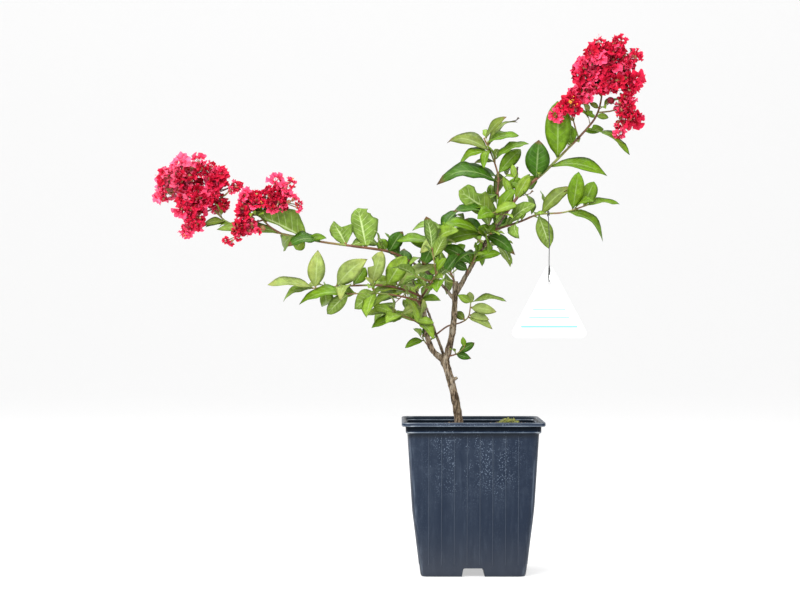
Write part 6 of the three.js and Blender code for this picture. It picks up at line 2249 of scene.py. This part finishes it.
class CRAPE_OT_soil(bpy.types.Operator):
    """Potting mix with loose crumbs, and the moss tuft"""

    bl_idname = "crape.soil"
    bl_label = "Soil and moss"

    def execute(self, context):
        sizes, pot = context.scene.crape_soil, context.scene.crape_pot
        earth = earth_finish("potting_mix", sizes.earth, sizes.grain)
        add_piece("soil_bed", soil_mesh(pot), [earth], ["soil"])
        chips = earth_finish("bark_chip", sizes.grain, scaled(sizes.grain, 1.6), 0.6)
        grit = earth_finish("grit", scaled(sizes.earth, 1.5), sizes.grain, 1.4)
        crumbs = grain_pile(sizes, pot).mesh("soil_crumbs")
        add_piece("soil_crumbs", crumbs, [grit, chips], ["soil"], smooth=False)
        cushion = moss_finish("moss_cushion", sizes.moss)
        blade = moss_finish("moss_blade", scaled(sizes.moss, 1.5))
        add_piece("moss", moss_pile(sizes).mesh("moss"), [cushion, blade], ["moss_tuft"])
        return {"FINISHED"}


class CRAPE_OT_wood(bpy.types.Operator):
    """Trunk, stems and boughs as one skin of bark"""

    bl_idname = "crape.wood"
    bl_label = "Trunk and boughs"

    def execute(self, context):
        sizes = context.scene.crape_wood
        add_piece("wood", wood_mesh(sizes, grown_plant()), [bark_finish(sizes)], list(LIMBS))
        return {"FINISHED"}


class CRAPE_OT_twigs(bpy.types.Operator):
    """Stems, twigs and stalks"""

    bl_idname = "crape.twigs"
    bl_label = "Twigs"

    def execute(self, context):
        leaf, blossom = context.scene.crape_leaf, context.scene.crape_blossom
        finishes = [
            shoot_finish("young_wood", leaf.young_wood, scaled(leaf.young_wood, 0.55)),
            shoot_finish("green_wood", leaf.green_wood, leaf.young_wood),
            shoot_finish("flower_stalk", blossom.stalk, leaf.green_wood),
            shoot_finish("dry_tip", (0.035, 0.022, 0.014), leaf.tip, 0.8),
        ]
        add_piece("twigs", stems_pile(grown_plant()).mesh("twigs"), finishes, list(MASSES))
        return {"FINISHED"}


class CRAPE_OT_leaves(bpy.types.Operator):
    """All leaves, each in its own outline"""

    bl_idname = "crape.leaves"
    bl_label = "Leaves"

    def execute(self, context):
        sizes = context.scene.crape_leaf
        pale = tuple(c + more for c, more in zip(sizes.pale, (0.23, 0.25, 0.16)))
        finishes = []
        for words, colour, tip, young, ribbed in (
            ("deep", sizes.deep, sizes.tip, 0.0, 0.5),
            ("mature", sizes.mature, None, 0.0, 0.5),
            ("fresh", sizes.fresh, None, 0.0, 0.7),
            ("lime", sizes.lime, None, 0.12, 0.7),
            ("olive", sizes.olive, sizes.tip, 0.12, 0.5),
        ):
            face, vein = "leaf_" + words, between(colour, pale, 0.6)
            finishes.append(leaf_finish(face, colour, vein, sizes.veins, tip, 0.34, young, ribbed))
            back, under = "leaf_under_" + words, between(colour, sizes.pale, 0.55)
            finishes.append(leaf_finish(back, under, pale, sizes.veins, tip, 0.6, young, 0.85))
        leaves = leaf_pile(grown_plant(), sizes).mesh("leaves")
        add_piece("leaves", leaves, finishes, list(MASSES))
        return {"FINISHED"}


class CRAPE_OT_blossom(bpy.types.Operator):
    """Crinkled petals, cups, stamens and buds"""

    bl_idname = "crape.blossom"
    bl_label = "Blossom"

    def execute(self, context):
        sizes = context.scene.crape_blossom
        heads = [name for name, mass in MASSES.items() if "blossoms" in mass]
        petals, hearts = blossom_piles(grown_plant(), sizes)
        finishes = [
            # Lit and shaded copies of the petal colour: rose and pink as painted highlights, dark as painted
            # shade.
            petal_finish("petal_crimson", sizes.crimson, sizes.dark, sizes.rose),
            petal_finish("petal_rose_highlight", sizes.rose, sizes.crimson, (0.95, 0.22, 0.36)),
            petal_finish("petal_dark_shade", between(sizes.dark, sizes.crimson, 0.5), sizes.dark, sizes.crimson),
            petal_finish("petal_pink_highlight", sizes.pink, sizes.rose, scaled(sizes.pink, 1.2)),
        ]
        add_piece("petals_left", petals["left"].mesh("petals_left"), finishes, heads[1:])
        add_piece("petals_right", petals["right"].mesh("petals_right"), finishes, heads[:1])
        centre = [
            speckled_finish("pollen", sizes.pollen, scaled(sizes.pollen, 1.3)),
            speckled_finish("calyx", sizes.calyx, (0.26, 0.03, 0.03)),
            speckled_finish("filament", (0.55, 0.03, 0.06), sizes.rose),
            speckled_finish("bud_stalk", sizes.stalk, sizes.calyx),
            speckled_finish("bud_red", (0.09, 0.005, 0.012), (0.26, 0.010, 0.025)),
        ]
        add_piece("blossom_hearts", hearts.mesh("blossom_hearts"), centre, heads)
        return {"FINISHED"}


class CRAPE_OT_label(bpy.types.Operator):
    """The hanging label and its wire"""

    bl_idname = "crape.label"
    bl_label = "Label"

    def execute(self, context):
        sizes = context.scene.crape_label
        add_piece("label_plate", label_mesh(), [label_finish(sizes)], ["label"], smooth=False)
        add_piece("wire", wire_pile().mesh("wire"), [wire_finish(sizes)], ["label_wire"])
        return {"FINISHED"}


OPERATORS = (
    CRAPE_OT_stage,
    CRAPE_OT_pot,
    CRAPE_OT_soil,
    CRAPE_OT_wood,
    CRAPE_OT_twigs,
    CRAPE_OT_leaves,
    CRAPE_OT_blossom,
    CRAPE_OT_label,
)


class CRAPE_PT_panel(bpy.types.Panel):
    bl_idname = "CRAPE_PT_panel"
    bl_label = "Crape Myrtle"
    bl_space_type = "VIEW_3D"
    bl_region_type = "UI"
    bl_category = "Crape Myrtle"

    def draw(self, context):
        for group, kind in SETTINGS.items():
            box = self.layout.box()
            box.label(text=kind.__name__.replace("Settings", ""))
            for words in kind.__annotations__:
                box.prop(getattr(context.scene, group), words)
        for operator in OPERATORS:
            self.layout.operator(operator.bl_idname)


CLASSES = (*SETTINGS.values(), *OPERATORS, CRAPE_PT_panel)


def register():
    for kind in CLASSES:
        bpy.utils.register_class(kind)
    for words, kind in SETTINGS.items():
        setattr(bpy.types.Scene, words, bpy.props.PointerProperty(type=kind))


def unregister():
    for words in SETTINGS:
        delattr(bpy.types.Scene, words)
    for kind in reversed(CLASSES):
        bpy.utils.unregister_class(kind)


def main():
    register()
    for operator in OPERATORS:
        group, words = operator.bl_idname.split(".")
        getattr(getattr(bpy.ops, group), words)()


if __name__ == "__main__":
    main()
